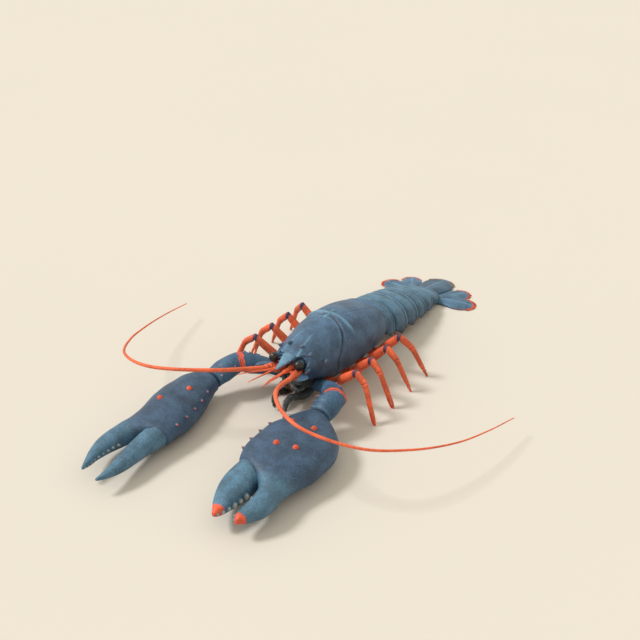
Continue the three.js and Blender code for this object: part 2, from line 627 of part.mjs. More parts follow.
// One ring of the tail, with a side lobe that points down and back, and its swimmerets.
function tailRing(index, grow = 0) {
  const from = TAIL_PARTINGS[index] + GAP / 2;
  const to = TAIL_PARTINGS[index + 1] - GAP / 2;
  const rings = TAIL_SHARES.map(share => {
    const y = THREE.MathUtils.lerp(from, to, share);
    const scale = share < TAIL_NECK.share ? TAIL_NECK.scale : 1 - TAIL_CROWN * Math.abs(share - 0.5);
    const halfWidth = TAIL_HALF_WIDTH(y) * scale + grow;
    const widest = TAIL_WIDEST(y);
    const shortEdge = widest - TAIL_LOBE_ROOT_DROP;
    const longEdge = Math.min(TAIL_LOBE_TIP(y), shortEdge);
    return arch(y, {
      halfWidth,
      top: widest + (TAIL_TOP(y) - widest) * scale + grow,
      widest,
      edgeX: halfWidth * TAIL_EDGE_SHARE,
      edgeZ: THREE.MathUtils.lerp(shortEdge, longEdge, TAIL_LOBE(share)) - grow,
      underX: halfWidth * TAIL_EDGE_SHARE - 2 * TAIL_SKIRT,
      under: widest - TAIL_UNDER_DROP,
      skirt: TAIL_SKIRT,
      sweep: () => 0,
      backSteps: 12,
      edgeSteps: 3
    });
  });
  let body = skin(rings);
  if (index > 0 && index < 5) body = fuse(body, swimmerets(THREE.MathUtils.lerp(from, to, 0.45)));
  if (index === 5) body = fuse(body, [LEFT, RIGHT].map(side => fanRoot(side, 0)));
  return body;
}

// A pair of swimmerets, each with two leaves that hang down and back.
function swimmerets(y) {
  const root = TAIL_WIDEST(y) - TAIL_UNDER_DROP;
  const length = Math.min(SWIMMERET_LENGTH, root - SWIMMERET_FLOOR_GAP);
  const leaves = [];
  for (const side of [LEFT, RIGHT]) {
    for (const [x, leanOut] of SWIMMERET_LEAVES) {
      const stops = SWIMMERET_STOPS.map(({ down, lean, back, wide, high }) => (
        { at: onSide(side, [x + leanOut * lean, y + back, root - length * down]), wide, high }
      ));
      const { wide, high, forward } = SWIMMERET_ROOT;
      stops.unshift({ at: onSide(side, [x, y - forward, root + SINK]), wide, high });
      leaves.push(limb(stops, { sides: 6, across: new THREE.Vector3(1, 0, 0) }));
    }
  }
  return leaves;
}

// Stub at the rear corner of the last tail ring that carries two blades of the fan.
function fanRoot(side, grow) {
  const last = FAN_ROOT_STOPS.length - 1;
  return limb(FAN_ROOT_STOPS.map(([x, y, z, wide, high], i) => (
    { at: onSide(side, [x, i === last ? y + grow : y, z]), wide: wide + grow, high: high + grow }
  )), { sides: 10 });
}

// One blade of the fan: a rounded leaf with a raised midrib, flat below, that slopes down to rest
// on the floor at its far end. `grow` swells it, and `tall` makes it a column, to cut a neighbour.
function blade(side, spec, { grow = 0, tall = false } = {}) {
  const { root, angle, length, half, rootHalf, thick, tip, step } = spec;
  const { edge, flank, flankAt, ribAt } = BLADE_SECTION;
  const slope = Math.atan2(root[2] + FAN_DIP, length);
  const place = new THREE.Matrix4().makeTranslation(side * root[0], root[1], root[2])
    .multiply(new THREE.Matrix4().makeRotationZ(-side * THREE.MathUtils.degToRad(angle)))
    .multiply(new THREE.Matrix4().makeRotationX(-slope));
  const low = tall ? -BLADE_COLUMN.below : -grow;
  const lift = tall ? BLADE_COLUMN.lift : 2 * grow;
  const rings = BLADE_SHARES.map(share => {
    const pastWidest = Math.max(share - BLADE_WIDEST, 0) / (1.006 - BLADE_WIDEST);
    const round = Math.sqrt(1 - pastWidest ** 2);
    const spread = THREE.MathUtils.lerp(rootHalf, half, THREE.MathUtils.smoothstep(share, 0, 0.6));
    const wide = spread * round + grow;
    const body = THREE.MathUtils.lerp(thick, tip, share) - (share > BLADE_STEP_FROM ? step : 0);
    const rib = BLADE_RIB * (1 - share);
    const over = [[1, edge], [flankAt, flank], [ribAt, 1]].map(([x, z]) => [x * wide, low + z * body + lift]);
    const mirrored = over.map(([x, z]) => [-x, z]).reverse();
    return [
      [wide, low], ...over, [0, low + body + rib + lift], ...mirrored, [-wide, low], [0, low]
    ].map(([x, z]) => new THREE.Vector3(x, share * (length + grow), z).applyMatrix4(place));
  });
  return skin(rings);
}

// The fan: the middle blade on top, then on each side an inner and an outer blade tucked under it.
function fan() {
  const lastRing = tailRing(5, GAP);
  const clear = (body, cutters) => largest(cutters.reduce((rest, cutter) => rest.subtract(cutter), body));
  const fanRoots = [LEFT, RIGHT].map(side => fanRoot(side, GAP));
  const middle = clear(blade(LEFT, TELSON), [lastRing, ...fanRoots, UNDERGROUND]);
  const middleCutter = blade(LEFT, TELSON, { grow: GAP });
  const pieces = [['telson', middle]];
  for (const side of [LEFT, RIGHT]) {
    const tag = side === LEFT ? 'left' : 'right';
    const inner = clear(blade(side, INNER_BLADE), [lastRing, ...fanRoots, middleCutter, UNDERGROUND]);
    const innerColumn = blade(side, INNER_BLADE, { grow: GAP, tall: true });
    const outer = clear(blade(side, OUTER_BLADE), [lastRing, ...fanRoots, innerColumn, UNDERGROUND]);
    pieces.push([`uropod_inner_${tag}`, inner], [`uropod_outer_${tag}`, outer]);
  }
  return pieces;
}

// Walking leg from the breast to the knee.
function upperLeg(side, index) {
  const knee = onSide(side, LEG_KNEE[index]);
  const root = onSide(side, [LEG_ROOT_X, LEG_ROOT_Y[index], LEG_ROOT_Z]);
  const edge = SHELL_EDGE_X(LEG_ROOT_Y[index]) - BREAST_INSET;
  const outFrom = ({ out, up, forward }) => (
    onSide(side, [edge + out, THREE.MathUtils.lerp(root.y, knee.y, forward), LEG_ROOT_Z + up])
  );
  const hip = outFrom(LEG_HIP);
  const facing = kneeFacing(side, index);
  const end = knee.clone().addScaledVector(facing, -GAP / 2);
  const stops = [
    { at: root, wide: LEG_ROOT_RADIUS, high: LEG_ROOT_RADIUS - 0.3 },
    { at: outFrom(LEG_COXA), wide: LEG_ROOT_RADIUS, high: LEG_ROOT_RADIUS - 0.4 },
    { at: hip, wide: LEG_HIP.wide, high: LEG_HIP.high },
    ...LEG_THIGH_STOPS.map(([share, wide, high]) => ({ at: hip.clone().lerp(end, share), wide, high }))
  ];
  const across = knee.clone().sub(root).cross(UP).normalize();
  return largest(limb(stops, { sides: 8, endFacing: facing, across }).subtract(BREAST_CUTTER));
}

// The direction in which a leg passes through its knee, which the two meeting faces are square to.
function kneeFacing(side, index) {
  const knee = onSide(side, LEG_KNEE[index]);
  const ankle = onSide(side, LEG_ANKLE[index]);
  const rootEdge = onSide(side, [LEG_FACING_X, LEG_ROOT_Y[index], LEG_ROOT_Z]);
  const before = knee.clone().sub(rootEdge).normalize();
  return before.add(ankle.clone().sub(knee).normalize()).normalize();
}

// Walking leg from the knee to the floor. The two front pairs end in small pincers.
function lowerLeg(side, index) {
  const knee = onSide(side, LEG_KNEE[index]);
  const ankle = onSide(side, LEG_ANKLE[index]);
  const foot = onSide(side, LEG_FOOT[index]);
  const facing = kneeFacing(side, index);
  const start = knee.clone().addScaledVector(facing, GAP / 2);
  const across = foot.clone().sub(knee).cross(UP).normalize();
  const underFoot = foot.clone().addScaledVector(foot.clone().sub(ankle).normalize(), 1);
  const along = share => ankle.clone().lerp(underFoot, share);
  const pincer = LEG_PINCERS[index];
  const stops = [
    { at: start, wide: 2.9, high: 3.5 },
    { at: knee.clone().lerp(ankle, 0.3), wide: 2.9, high: 3.4 },
    { at: knee.clone().lerp(ankle, 0.9), wide: 2.7, high: 3 },
    { at: along(0.08), wide: 2.4, high: 2.6 },
    { at: along(0.42), wide: 2.3, high: pincer ? 2.8 : 2.4 }
  ];
  if (pincer) {
    stops.push({ at: along(0.62), wide: 2, high: 2.7 }, { at: along(0.66), wide: 1.6, high: 1.4 });
  } else {
    stops.push({ at: along(0.66), wide: 1.8, high: 2 }, { at: along(0.7), wide: 1.6, high: 1.7 });
    stops.push({ at: along(0.88), wide: 1.3, high: 1.3 }, { at: along(1), wide: 1, high: 1 });
  }
  const body = limb(stops, { sides: 8, startFacing: facing, across });
  if (!pincer) return largest(body.subtract(UNDERGROUND));
  const down = underFoot.clone().sub(ankle).normalize();
  const outward = new THREE.Vector3().crossVectors(across, down).normalize();
  const fingers = [-1, 1].map(turn => {
    const shift = amount => outward.clone().multiplyScalar(turn * amount);
    const places = PINCER_STOPS.map(([share, amount, wide, high]) => (
      { at: along(share).add(shift(amount)), wide, high }
    ));
    return limb(places, { sides: 6, across });
  });
  return largest(fuse(body, fingers).subtract(UNDERGROUND));
}

// First length of an arm, out of the breast.
function armRoot(side) {
  const root = onSide(side, ARM_ROOT);
  const shoulder = onSide(side, ARM_SHOULDER);
  const facing = onSide(side, ARM_ELBOW).sub(shoulder).normalize();
  const along = share => root.clone().lerp(shoulder, share);
  const stops = ARM_ROOT_SIZES.map(([share, wide, high]) => ({ at: along(share), wide, high }));
  stops.at(-1).at.addScaledVector(facing, -GAP / 2);
  return largest(limb(stops, { sides: 10, endFacing: facing }).subtract(BREAST_CUTTER));
}

// Upper arm, from the shoulder to the elbow, with spines along its upper edge.
function upperArm(claw) {
  const shoulder = onSide(claw.side, ARM_SHOULDER);
  const elbow = onSide(claw.side, ARM_ELBOW);
  const facing = elbow.clone().sub(shoulder).normalize();
  const start = shoulder.clone().addScaledVector(facing, GAP / 2);
  const bend = elbowFacing(claw);
  const end = elbow.clone().addScaledVector(bend, -GAP / 2);
  const along = share => start.clone().lerp(end, share);
  const stops = UPPER_ARM_SIZES.map(([share, wide, high]) => ({ at: along(share), wide, high }));
  const body = limb(stops, { sides: 12, startFacing: facing, endFacing: bend });
  const front = new THREE.Vector3().crossVectors(facing, new THREE.Vector3(0, 0, claw.side)).normalize();
  const { shares, lengths, radius, inward, up } = UPPER_ARM_SPINES;
  const spines = shares.map((share, i) => {
    const at = along(share).addScaledVector(front, -inward).add(new THREE.Vector3(0, 0, up));
    const lean = facing.clone().multiplyScalar(0.7).addScaledVector(front, -0.5);
    return spine(at, lean.add(new THREE.Vector3(0, 0, 1)), lengths[i], radius);
  });
  return fuse(body, spines);
}

// The direction in which an arm passes through its elbow.
function elbowFacing(claw) {
  const shoulder = onSide(claw.side, ARM_SHOULDER);
  const elbow = onSide(claw.side, ARM_ELBOW);
  const before = elbow.clone().sub(shoulder).normalize();
  return before.add(onSide(claw.side, claw.wrist).sub(elbow).normalize()).normalize();
}

// Wrist piece, from the elbow to the palm, with spines on its inner edge.
function wristPiece(claw) {
  const elbow = onSide(claw.side, ARM_ELBOW);
  const wrist = onSide(claw.side, claw.wrist);
  const bend = elbowFacing(claw);
  const start = elbow.clone().addScaledVector(bend, GAP / 2);
  const end = wrist.clone().add(new THREE.Vector3(0, GAP, 0));
  const along = share => {
    const arched = new THREE.Vector3(0, 0, WRIST_ARCH * Math.sin(Math.PI * share));
    return start.clone().lerp(end, share).add(arched);
  };
  const stops = WRIST_SIZES.map(([share, wide, high]) => ({ at: along(share), wide, high }));
  const body = limb(stops, { sides: 12, startFacing: bend, endFacing: new THREE.Vector3(0, -1, 0) });
  const { shares, lengths, radius, inward, up } = WRIST_SPINES;
  const spines = shares.map((share, i) => {
    const at = along(share).add(new THREE.Vector3(-claw.side * inward, 0, up));
    return spine(at, new THREE.Vector3(-claw.side, -0.8, 0.6), lengths[i], radius);
  });
  return fuse(body, spines);
}

// A point of a claw, from its offset, reach and height.
function clawPoint(claw, offset, reach, height) {
  const [x, y] = claw.wrist;
  return new THREE.Vector3(claw.side * (x + offset), y - reach, height);
}

// A finger of a claw through its stops, with a row of teeth along the edge that bites. `bite` is
// +1 where that edge faces away from the middle of the animal, and `from` is where the row starts.
function finger(claw, stops, bite, from, options = {}) {
  const places = stops.map(([offset, reach, wide, high]) => ({
    at: clawPoint(claw, offset, reach, claw.centreHeight), wide, high
  }));
  const body = limb(places, { sides: 12, squareness: FINGER_SQUARENESS, ...options });
  const line = new THREE.CatmullRomCurve3(places.map(place => place.at));
  const width = profile(...stops.map((stop, i) => [i / (stops.length - 1), stop[2]]));
  const teeth = [];
  for (let i = 0; i < claw.teeth.count; i += 1) {
    const share = i / (claw.teeth.count - 1);
    const t = THREE.MathUtils.lerp(from, TEETH_TO, share);
    const size = THREE.MathUtils.lerp(1, 0.5, share) * (i % 2 ? SMALLER_TOOTH : 1);
    const inward = new THREE.Vector3(claw.side * bite, 0, 0);
    const at = line.getPoint(t).addScaledVector(inward, width(t) - 0.6);
    const { height, radius, blunt } = claw.teeth;
    teeth.push(spine(at, inward, height * size, radius * size, { blunt }));
  }
  return fuse(body, teeth);
}

// The slanting face where the moving finger is hinged, as a direction along the claw.
function hingeFacing(claw) {
  const [innerX, innerReach] = claw.hingeInner;
  const [outerX, outerReach] = claw.hingeOuter;
  const slant = new THREE.Vector2(outerX - innerX, outerReach - innerReach).normalize();
  return new THREE.Vector3(-claw.side * slant.y, -slant.x, 0);
}

// Everything forward of the hinge face on its inner side.
function hingeCutter(claw) {
  const [innerX, innerReach] = claw.hingeInner;
  const [outerX, outerReach] = claw.hingeOuter;
  const [beyond, aside, below, above] = [60, 40, -10, 60];
  const slant = (outerReach - innerReach) / (outerX - innerX);
  const corners = [
    [outerX, outerReach], [outerX, outerReach + beyond],
    [innerX - aside, outerReach + beyond], [innerX - aside, innerReach - aside * slant]
  ];
  return skin([below, above].map(z => corners.map(([offset, reach]) => clawPoint(claw, offset, reach, z))));
}

// Palm with its fixed finger, its knobs and the spines of its inner edge.
function palm(claw) {
  const rings = [];
  for (const reach of [...PALM_REACHES, claw.palmLength]) {
    const outer = claw.outerEdge(reach);
    const inner = claw.innerEdge(reach);
    const centre = clawPoint(claw, (outer + inner) / 2, reach, palmMiddle(claw, reach));
    rings.push(oval(
      centre, new THREE.Vector3(1, 0, 0), new THREE.Vector3(0, 0, 1),
      (outer - inner) / 2, claw.halfHeight(reach), 18, PALM_SQUARENESS
    ));
  }
  const cutter = hingeCutter(claw);
  const hand = largest(skin(rings).subtract(cutter));
  const growths = [finger(claw, claw.fixedFinger, -1, FIXED_TEETH_FROM).subtract(cutter)];
  for (const [offset, reach] of claw.knobs) {
    growths.push(knob(clawPoint(claw, offset, reach, palmHeightAt(claw, offset, reach)), KNOB_RADIUS));
  }
  for (let i = 0; i < EDGE_SPINES.count; i += 1) {
    const reach = THREE.MathUtils.lerp(EDGE_SPINES.from, EDGE_SPINES.to, i / (EDGE_SPINES.count - 1));
    const offset = claw.innerEdge(reach) + EDGE_SPINES.inset;
    const at = clawPoint(claw, offset, reach, palmHeightAt(claw, offset, reach) - EDGE_SPINES.sunk);
    const lean = new THREE.Vector3(-claw.side, -0.4, 0.7);
    growths.push(spine(at, lean, EDGE_SPINES.length, EDGE_SPINES.radius));
  }
  return largest(fuse(hand, growths).subtract(UNDERGROUND));
}

// Height of the middle of the palm at a reach: it levels out from the wrist's height.
function palmMiddle(claw, reach) {
  const levelled = THREE.MathUtils.smoothstep(reach, 0, PALM_LEVELS_BY);
  return THREE.MathUtils.lerp(claw.wrist[2], claw.centreHeight, levelled);
}

// Height of the palm's upper face at an offset and reach.
function palmHeightAt(claw, offset, reach) {
  const outer = claw.outerEdge(reach);
  const inner = claw.innerEdge(reach);
  const share = (offset - (outer + inner) / 2) / ((outer - inner) / 2);
  const rounded = Math.sqrt(Math.max(1 - Math.abs(share) ** 2.2, 0));
  return palmMiddle(claw, reach) + claw.halfHeight(reach) * rounded;
}

function movingFinger(claw) {
  return finger(claw, claw.movingFinger, 1, MOVING_TEETH_FROM, { startFacing: hingeFacing(claw) });
}

const BREAST_CUTTER = breast(GAP);

// The whole animal.
const lobster = new THREE.Group();
lobster.add(node('carapace', shell(), SHELL_BLUE));
lobster.add(node('sternum', breast(), BREAST_SLATE));

for (const side of [LEFT, RIGHT]) {
  const tag = side === LEFT ? 'left' : 'right';
  const eye = eyeParts(side);
  lobster.add(node(`eye_${tag}`, eye.ball, EYE_BLACK));
  lobster.add(node(`eyestalk_${tag}`, eye.stalk, ARM_BLUE));
  lobster.add(node(`antenna_stem_${tag}`, antennaStem(side), LEG_ORANGE));
  for (let i = 0; i < ANTENNA_LENGTHS; i += 1) {
    lobster.add(node(`antenna_${tag}_${i + 1}`, antennaLength(side, i), LEG_ORANGE));
  }
  lobster.add(node(`antenna_scale_${tag}`, antennaScale(side), ARM_BLUE));
  lobster.add(node(`antennule_${tag}`, antennule(side), LEG_ORANGE));
  lobster.add(node(`maxilliped_${tag}`, mouthLimb(side), BREAST_SLATE));
  for (let i = 0; i < LEG_ROOT_Y.length; i += 1) {
    lobster.add(node(`leg_${tag}_${i + 1}_upper`, upperLeg(side, i), LEG_ORANGE));
    lobster.add(node(`leg_${tag}_${i + 1}_lower`, lowerLeg(side, i), LEG_ORANGE));
  }
}

for (const claw of [CRUSHER, CUTTER]) {
  lobster.add(node(`${claw.name}_arm_root`, armRoot(claw.side), ARM_BLUE));
  lobster.add(node(`${claw.name}_upper_arm`, upperArm(claw), ARM_BLUE));
  lobster.add(node(`${claw.name}_wrist`, wristPiece(claw), ARM_BLUE));
  lobster.add(node(`${claw.name}_palm`, palm(claw), SHELL_BLUE));
  lobster.add(node(`${claw.name}_finger`, movingFinger(claw), LIGHT_BLUE));
}

for (let i = 0; i < TAIL_PARTINGS.length - 1; i += 1) {
  lobster.add(node(`tail_ring_${i + 1}`, tailRing(i), i % 2 ? SHELL_BLUE : LIGHT_BLUE));
}

for (const [name, body] of fan()) {
  lobster.add(node(name, body, LIGHT_BLUE));
}

export default lobster;
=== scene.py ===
import random
from bisect import bisect_right
from math import atan2, ceil, copysign, cos, exp, pi, radians, sin, sqrt

import bmesh
import bpy
from mathutils import Matrix, Vector, noise


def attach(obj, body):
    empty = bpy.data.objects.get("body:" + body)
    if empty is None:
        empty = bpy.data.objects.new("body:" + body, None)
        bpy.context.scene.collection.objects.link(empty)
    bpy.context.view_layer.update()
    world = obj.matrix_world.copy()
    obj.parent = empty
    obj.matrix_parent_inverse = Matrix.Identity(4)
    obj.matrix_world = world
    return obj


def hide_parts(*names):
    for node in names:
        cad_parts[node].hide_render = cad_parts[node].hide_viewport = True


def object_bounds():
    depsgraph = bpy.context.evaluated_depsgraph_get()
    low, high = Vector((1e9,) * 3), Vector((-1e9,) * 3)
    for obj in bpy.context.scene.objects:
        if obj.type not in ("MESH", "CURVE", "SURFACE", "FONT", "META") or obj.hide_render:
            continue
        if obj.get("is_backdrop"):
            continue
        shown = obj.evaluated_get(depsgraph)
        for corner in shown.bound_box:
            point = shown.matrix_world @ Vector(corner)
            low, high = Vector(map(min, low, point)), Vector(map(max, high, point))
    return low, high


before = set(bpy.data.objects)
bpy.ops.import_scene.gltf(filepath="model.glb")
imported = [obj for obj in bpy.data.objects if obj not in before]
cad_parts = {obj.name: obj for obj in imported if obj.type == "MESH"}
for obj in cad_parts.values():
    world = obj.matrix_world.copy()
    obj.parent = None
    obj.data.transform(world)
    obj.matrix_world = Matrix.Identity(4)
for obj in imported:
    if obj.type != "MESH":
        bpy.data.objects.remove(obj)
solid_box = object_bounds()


# Studio. The animal stands on a pale matt floor that runs out of view, under a broad soft light
# from the left and an even sky. The camera looks down on it from ahead of its left shoulder.
FLOOR_SIZE = 24.0
FLOOR_PALE = (203, 201, 197)
SKY_CREAM = (242, 232, 213)
LIGHT_STRENGTH = 2.49
LIGHT_TINT = (1.0, 0.955, 0.89)
LIGHT_SPREAD = 14
LIGHT_FROM = (-0.80, -0.42, 1.02)
CAMERA_PLACE = (0.4073, -0.6082, 0.4648)
CAMERA_TARGET = (-0.0681, 0.08895, 0.0)
CAMERA_LENS = 50
SENSOR_WIDTH = 36


def linear(colour, share=1.0):
    """A screen colour from 0 to 255, a share as bright, as the light that it stands for."""
    parts = [min(part * share / 255, 1) for part in colour]
    return tuple(p / 12.92 if p <= 0.04045 else ((p + 0.055) / 1.055) ** 2.4 for p in parts) + (1,)


class Wire:
    """The output of a shader node, which Python's own signs add, multiply and take apart."""

    def __init__(self, finish, socket):
        self.finish = finish
        self.socket = socket

    def reckon(self, operation, *values):
        return self.finish.add("ShaderNodeMath", {"operation": operation}, dict(enumerate(values)))

    def __add__(self, other):
        return self.reckon("ADD", self, other)

    def __sub__(self, other):
        return self.reckon("SUBTRACT", self, other)

    def __rsub__(self, other):
        return self.reckon("SUBTRACT", other, self)

    def __mul__(self, other):
        return self.reckon("MULTIPLY", self, other)

    __radd__ = __add__
    __rmul__ = __mul__

    def ramp(self, low, high):
        """0 below low, 1 above high, and a smooth rise between them."""
        span = {"Value": self, "From Min": low, "From Max": high}
        return self.finish.add("ShaderNodeMapRange", {"interpolation_type": "SMOOTHSTEP"}, span)


class Finish:
    """A procedural material: its nodes, and the shader that they feed."""

    def __init__(self, name):
        self.material = bpy.data.materials.new(name)
        self.material.use_nodes = True
        self.tree = self.material.node_tree
        self.tree.nodes.clear()
        self.place = self.add("ShaderNodeTexCoord", output="Object")

    def add(self, kind, settings=None, inputs=None, output=0):
        node = self.tree.nodes.new(kind)
        for name, value in (settings or {}).items():
            setattr(node, name, value)
        for name, value in (inputs or {}).items():
            if isinstance(value, Wire):
                self.tree.links.new(value.socket, node.inputs[name])
            else:
                node.inputs[name].default_value = value
        return Wire(self, node.outputs[output]) if len(node.outputs) else None

    def mix(self, share, first, second):
        return self.add("ShaderNodeMix", {"data_type": "RGBA"}, {0: share, 6: first, 7: second}, 2)

    def clouds(self, scale, detail=3.0):
        inputs = {"Vector": self.place, "Scale": scale, "Detail": detail, "Roughness": 0.55}
        return self.add("ShaderNodeTexNoise", None, inputs)

    def cells(self, scale):
        return self.add("ShaderNodeTexVoronoi", None, {"Vector": self.place, "Scale": scale})

    def bump(self, height, distance):
        return self.add("ShaderNodeBump", None, {"Height": height, "Distance": distance})

    def shade(self, inputs):
        """Closes the material with a Principled shader with these inputs."""
        shader = self.add("ShaderNodeBsdfPrincipled", None, inputs)
        self.add("ShaderNodeOutputMaterial", None, {"Surface": shader})
        return self.material


def placed(name, data):
    """A new object in the scene, at the origin."""
    made = bpy.data.objects.new(name, data)
    bpy.context.collection.objects.link(made)
    return made


def meshed(name, bm, finish):
    mesh = bpy.data.meshes.new(name)
    bm.to_mesh(mesh)
    bm.free()
    mesh.materials.append(finish)
    return placed(name, mesh)


def floor_finish():
    finish = Finish("studio_floor")
    pale = finish.mix(finish.clouds(2.0), linear(FLOOR_PALE, 0.995), linear(FLOOR_PALE, 1.005))
    return finish.shade({"Base Color": pale, "Roughness": 0.95, "Specular IOR Level": 0.05})


floor_bm = bmesh.new()
bmesh.ops.create_grid(floor_bm, x_segments=8, y_segments=8, size=FLOOR_SIZE / 2)
floor = meshed("studio_floor", floor_bm, floor_finish())
floor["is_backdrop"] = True

sky = bpy.data.worlds.new("studio_sky")
sky.use_nodes = True
sky.node_tree.nodes["Background"].inputs["Color"].default_value = linear(SKY_CREAM)
bpy.context.scene.world = sky

light_data = bpy.data.lights.new("soft_light", "SUN")
light_data.energy = LIGHT_STRENGTH
light_data.color = LIGHT_TINT
light_data.angle = radians(LIGHT_SPREAD)
light = placed("soft_light", light_data)
light.rotation_euler = Vector(LIGHT_FROM).to_track_quat("Z", "Y").to_euler()

camera_data = bpy.data.cameras.new("camera")
camera_data.lens = CAMERA_LENS
camera_data.sensor_width = SENSOR_WIDTH
camera = placed("camera", camera_data)
camera.location = CAMERA_PLACE
camera_aim = Vector(CAMERA_TARGET) - Vector(CAMERA_PLACE)
camera.rotation_euler = camera_aim.to_track_quat("-Z", "Y").to_euler()
bpy.context.scene.camera = camera
bpy.context.scene.view_settings.view_transform = "Standard"


# Back shell. One chalky shell covers head and thorax, crossed by the neck groove, and runs out
# ahead into a spined beak. It hangs over the roots of the limbs like a skirt.
MM = 0.001
SIDES = {"left": 1, "right": -1}
UP = Vector((0, 0, 1))
SHELL_FRONT = -60
SHELL_REAR = 68
SHELL_BLUE = (65, 92, 123)
# The pale tint of ridges and edges; on the top of the back and of the tail rings it is painted light.
RIDGE_BLUE = (98, 140, 170)
# The dark tint: painted shade in grooves and on under sides, the dark of joints, and the fine speckles.
DARK_AND_SHADE_SLATE = (38, 48, 64)
SKIN_RED = (208, 86, 58)
UNTINTED = (0.0, 0.0, 0.0)
SHELL_PITCH = 0.75
SHELL_POINTS = 232
GROOVE_Y = 2
GROOVE_DEPTH = 2.0
GROOVE_RIM = 3.2
GROOVE_SWEEP = 24
SWEEP_POWER = 1.7
RIDGE_Y = 5.8
RIDGE_HEIGHT = 1.6
ORBIT = (11.8, 47.6)
ORBIT_RADIUS = 6.6
ORBIT_DEPTH = 5.2
BEAK_TIP = Vector((0, -80, 48))
BEAK_HALF_WIDTH = 9.5
BEAK_HALF_HEIGHT = 5.2
BEAK_TIP_RADIUS = 0.6
BEAK_SPINES = 3
FRONT_SPINES = (
    ((17.6, -57, 41), (0.25, -1, 0.05), 6, 2), ((16, -50, 53.6), (0.35, -1, 0.45), 4.5, 1.7),
    ((7, -50, 59.3), (0.1, -1, 0.5), 4, 1.6), ((24.5, -38, 44), (0.6, -1, 0.2), 3.6, 1.6),
)


def lerp(first, second, share):
    return first + (second - first) * share


def rise(value, low, high):
    """0 below low, 1 above high, and a smooth rise between them."""
    share = min(max((value - low) / (high - low), 0), 1)
    return share * share * (3 - 2 * share)


def bump(distance, width):
    return exp(-((distance / width) ** 2))


def squared(value, power):
    """A sine or cosine to a power, with its sign kept. A power below 1 squares a round outline."""
    return copysign(abs(value) ** power, value)


def turns(count):
    return [2 * pi * (i + 0.5) / count for i in range(count)]


def on_side(side, point):
    return Vector((side * point[0], point[1], point[2]))


def mirrored(side, stops):
    """Stops drawn for the left side, brought to this one, with the sizes that they carry."""
    return [(side * x, *rest) for x, *rest in stops]


def smooth_step(first, last, leave, arrive, span, t):
    """The value at a share t of a span between two values, with these slopes at its ends."""
    start = first * ((1 + 2 * t) * (1 - t) ** 2) + leave * (span * t * (1 - t) ** 2)
    return start + last * (t * t * (3 - 2 * t)) + arrive * (span * t * t * (t - 1))


def profile(*pairs):
    """A smooth curve through (place, size) pairs, with no overshoot and level past its ends."""
    places, sizes = zip(*pairs)
    spans = [after - before for before, after in zip(places, places[1:])]
    chords = [(after - before) / span for before, after, span in zip(sizes, sizes[1:], spans)]
    slopes = []
    for before, after in zip(chords[:1] + chords, chords + chords[-1:]):
        slopes.append(2 * before * after / (before + after) if before * after > 0 else 0)

    def size_at(place):
        place = min(max(place, places[0]), places[-1])
        i = min(bisect_right(places, place) - 1, len(chords) - 1)
        t = (place - places[i]) / spans[i]
        return smooth_step(sizes[i], sizes[i + 1], slopes[i], slopes[i + 1], spans[i], t)

    return size_at


SHELL_HALF_WIDTH = profile((-60, 17), (-45, 22.5), (-25, 28), (0, 31.5), (28, 33), (55, 31), (68, 27.5))
SHELL_TOP = profile((-60, 55), (-40, 61), (-12, 65), (12, 66.5), (35, 62.5), (55, 57), (68, 53))
SHELL_WIDEST = profile((-60, 43), (-30, 39), (20, 36), (68, 35))
SHELL_EDGE_X = profile((-60, 12.5), (-40, 20), (-20, 23.5), (5, 26), (30, 27.5), (68, 24.5))
SHELL_EDGE_Z = profile((-60, 31), (-45, 27), (-30, 23), (-14, 20.8), (50, 20.8), (68, 24))
SHELL_UNDER = profile((-60, 34), (-45, 30), (-30, 26.5), (-14, 25), (50, 25), (68, 27))
SHELL_SKIRT = 2.2


def shell_finish(name, base, dark=DARK_AND_SHADE_SLATE, light=RIDGE_BLUE, red=SKIN_RED, speck=DARK_AND_SHADE_SLATE):
    """Shell colour: cloudy, finely speckled and pitted, with the tints painted on the mesh."""
    finish = Finish(name)
    paint = finish.add("ShaderNodeAttribute", {"attribute_name": "paint"}, output="Color")
    # The dark tint paints shade in grooves and on under sides as well as the dark of joints; the light tint
    # paints pale ridges and edges and also light on the tops of back and tail.
    tints = [
        (finish.add("ShaderNodeSeparateColor", None, {"Color": paint}, i), colour)
        for i, colour in enumerate((red, light, dark))
    ]
    cloud = finish.clouds(75, 4)
    grain = finish.clouds(620, 3)
    mottle = (cloud * 0.6 + grain * 0.4).ramp(0.37, 0.63)
    colour = finish.mix(mottle, linear(base, 0.84), linear(base, 1.12))
    for share, tint in tints:
        colour = finish.mix(share, colour, finish.mix(mottle, linear(tint, 0.86), linear(tint, 1.1)))
    speckle = (1 - finish.cells(330).ramp(0.12, 0.34)) * finish.clouds(140, 2).ramp(0.5, 0.62)
    colour = finish.mix(speckle * 0.4, colour, linear(speck, 0.9))
    worn = finish.add("ShaderNodeNewGeometry", output="Pointiness").ramp(0.515, 0.58)
    colour = finish.mix(worn * 0.3, colour, linear(light, 1.1))
    pits = 1 - finish.cells(820).ramp(0.08, 0.36)
    height = grain * 0.5 - pits * 0.5
    return finish.shade({
        "Base Color": colour,
        "Roughness": 0.44 + cloud * 0.16,
        "Specular IOR Level": 0.3,
        "Coat Weight": 0.06,
        "Coat Roughness": 0.3,
        "Normal": finish.bump(height, 0.00022),
    })


def blank():
    """An empty mesh whose points can be painted with shares of red, light and dark."""
    bm = bmesh.new()
    bm.verts.layers.float_color.new("paint")
    return bm


def drawn_in(ring, share, back=0.0):
    """A ring of (point, tint) shrunk to a share of its size about its middle, and moved back."""
    middle = sum((point for point, _ in ring), Vector()) / len(ring)
    shift = Vector((0, back, 0))
    return [(middle + (point - middle) * share + shift, tint) for point, tint in ring]


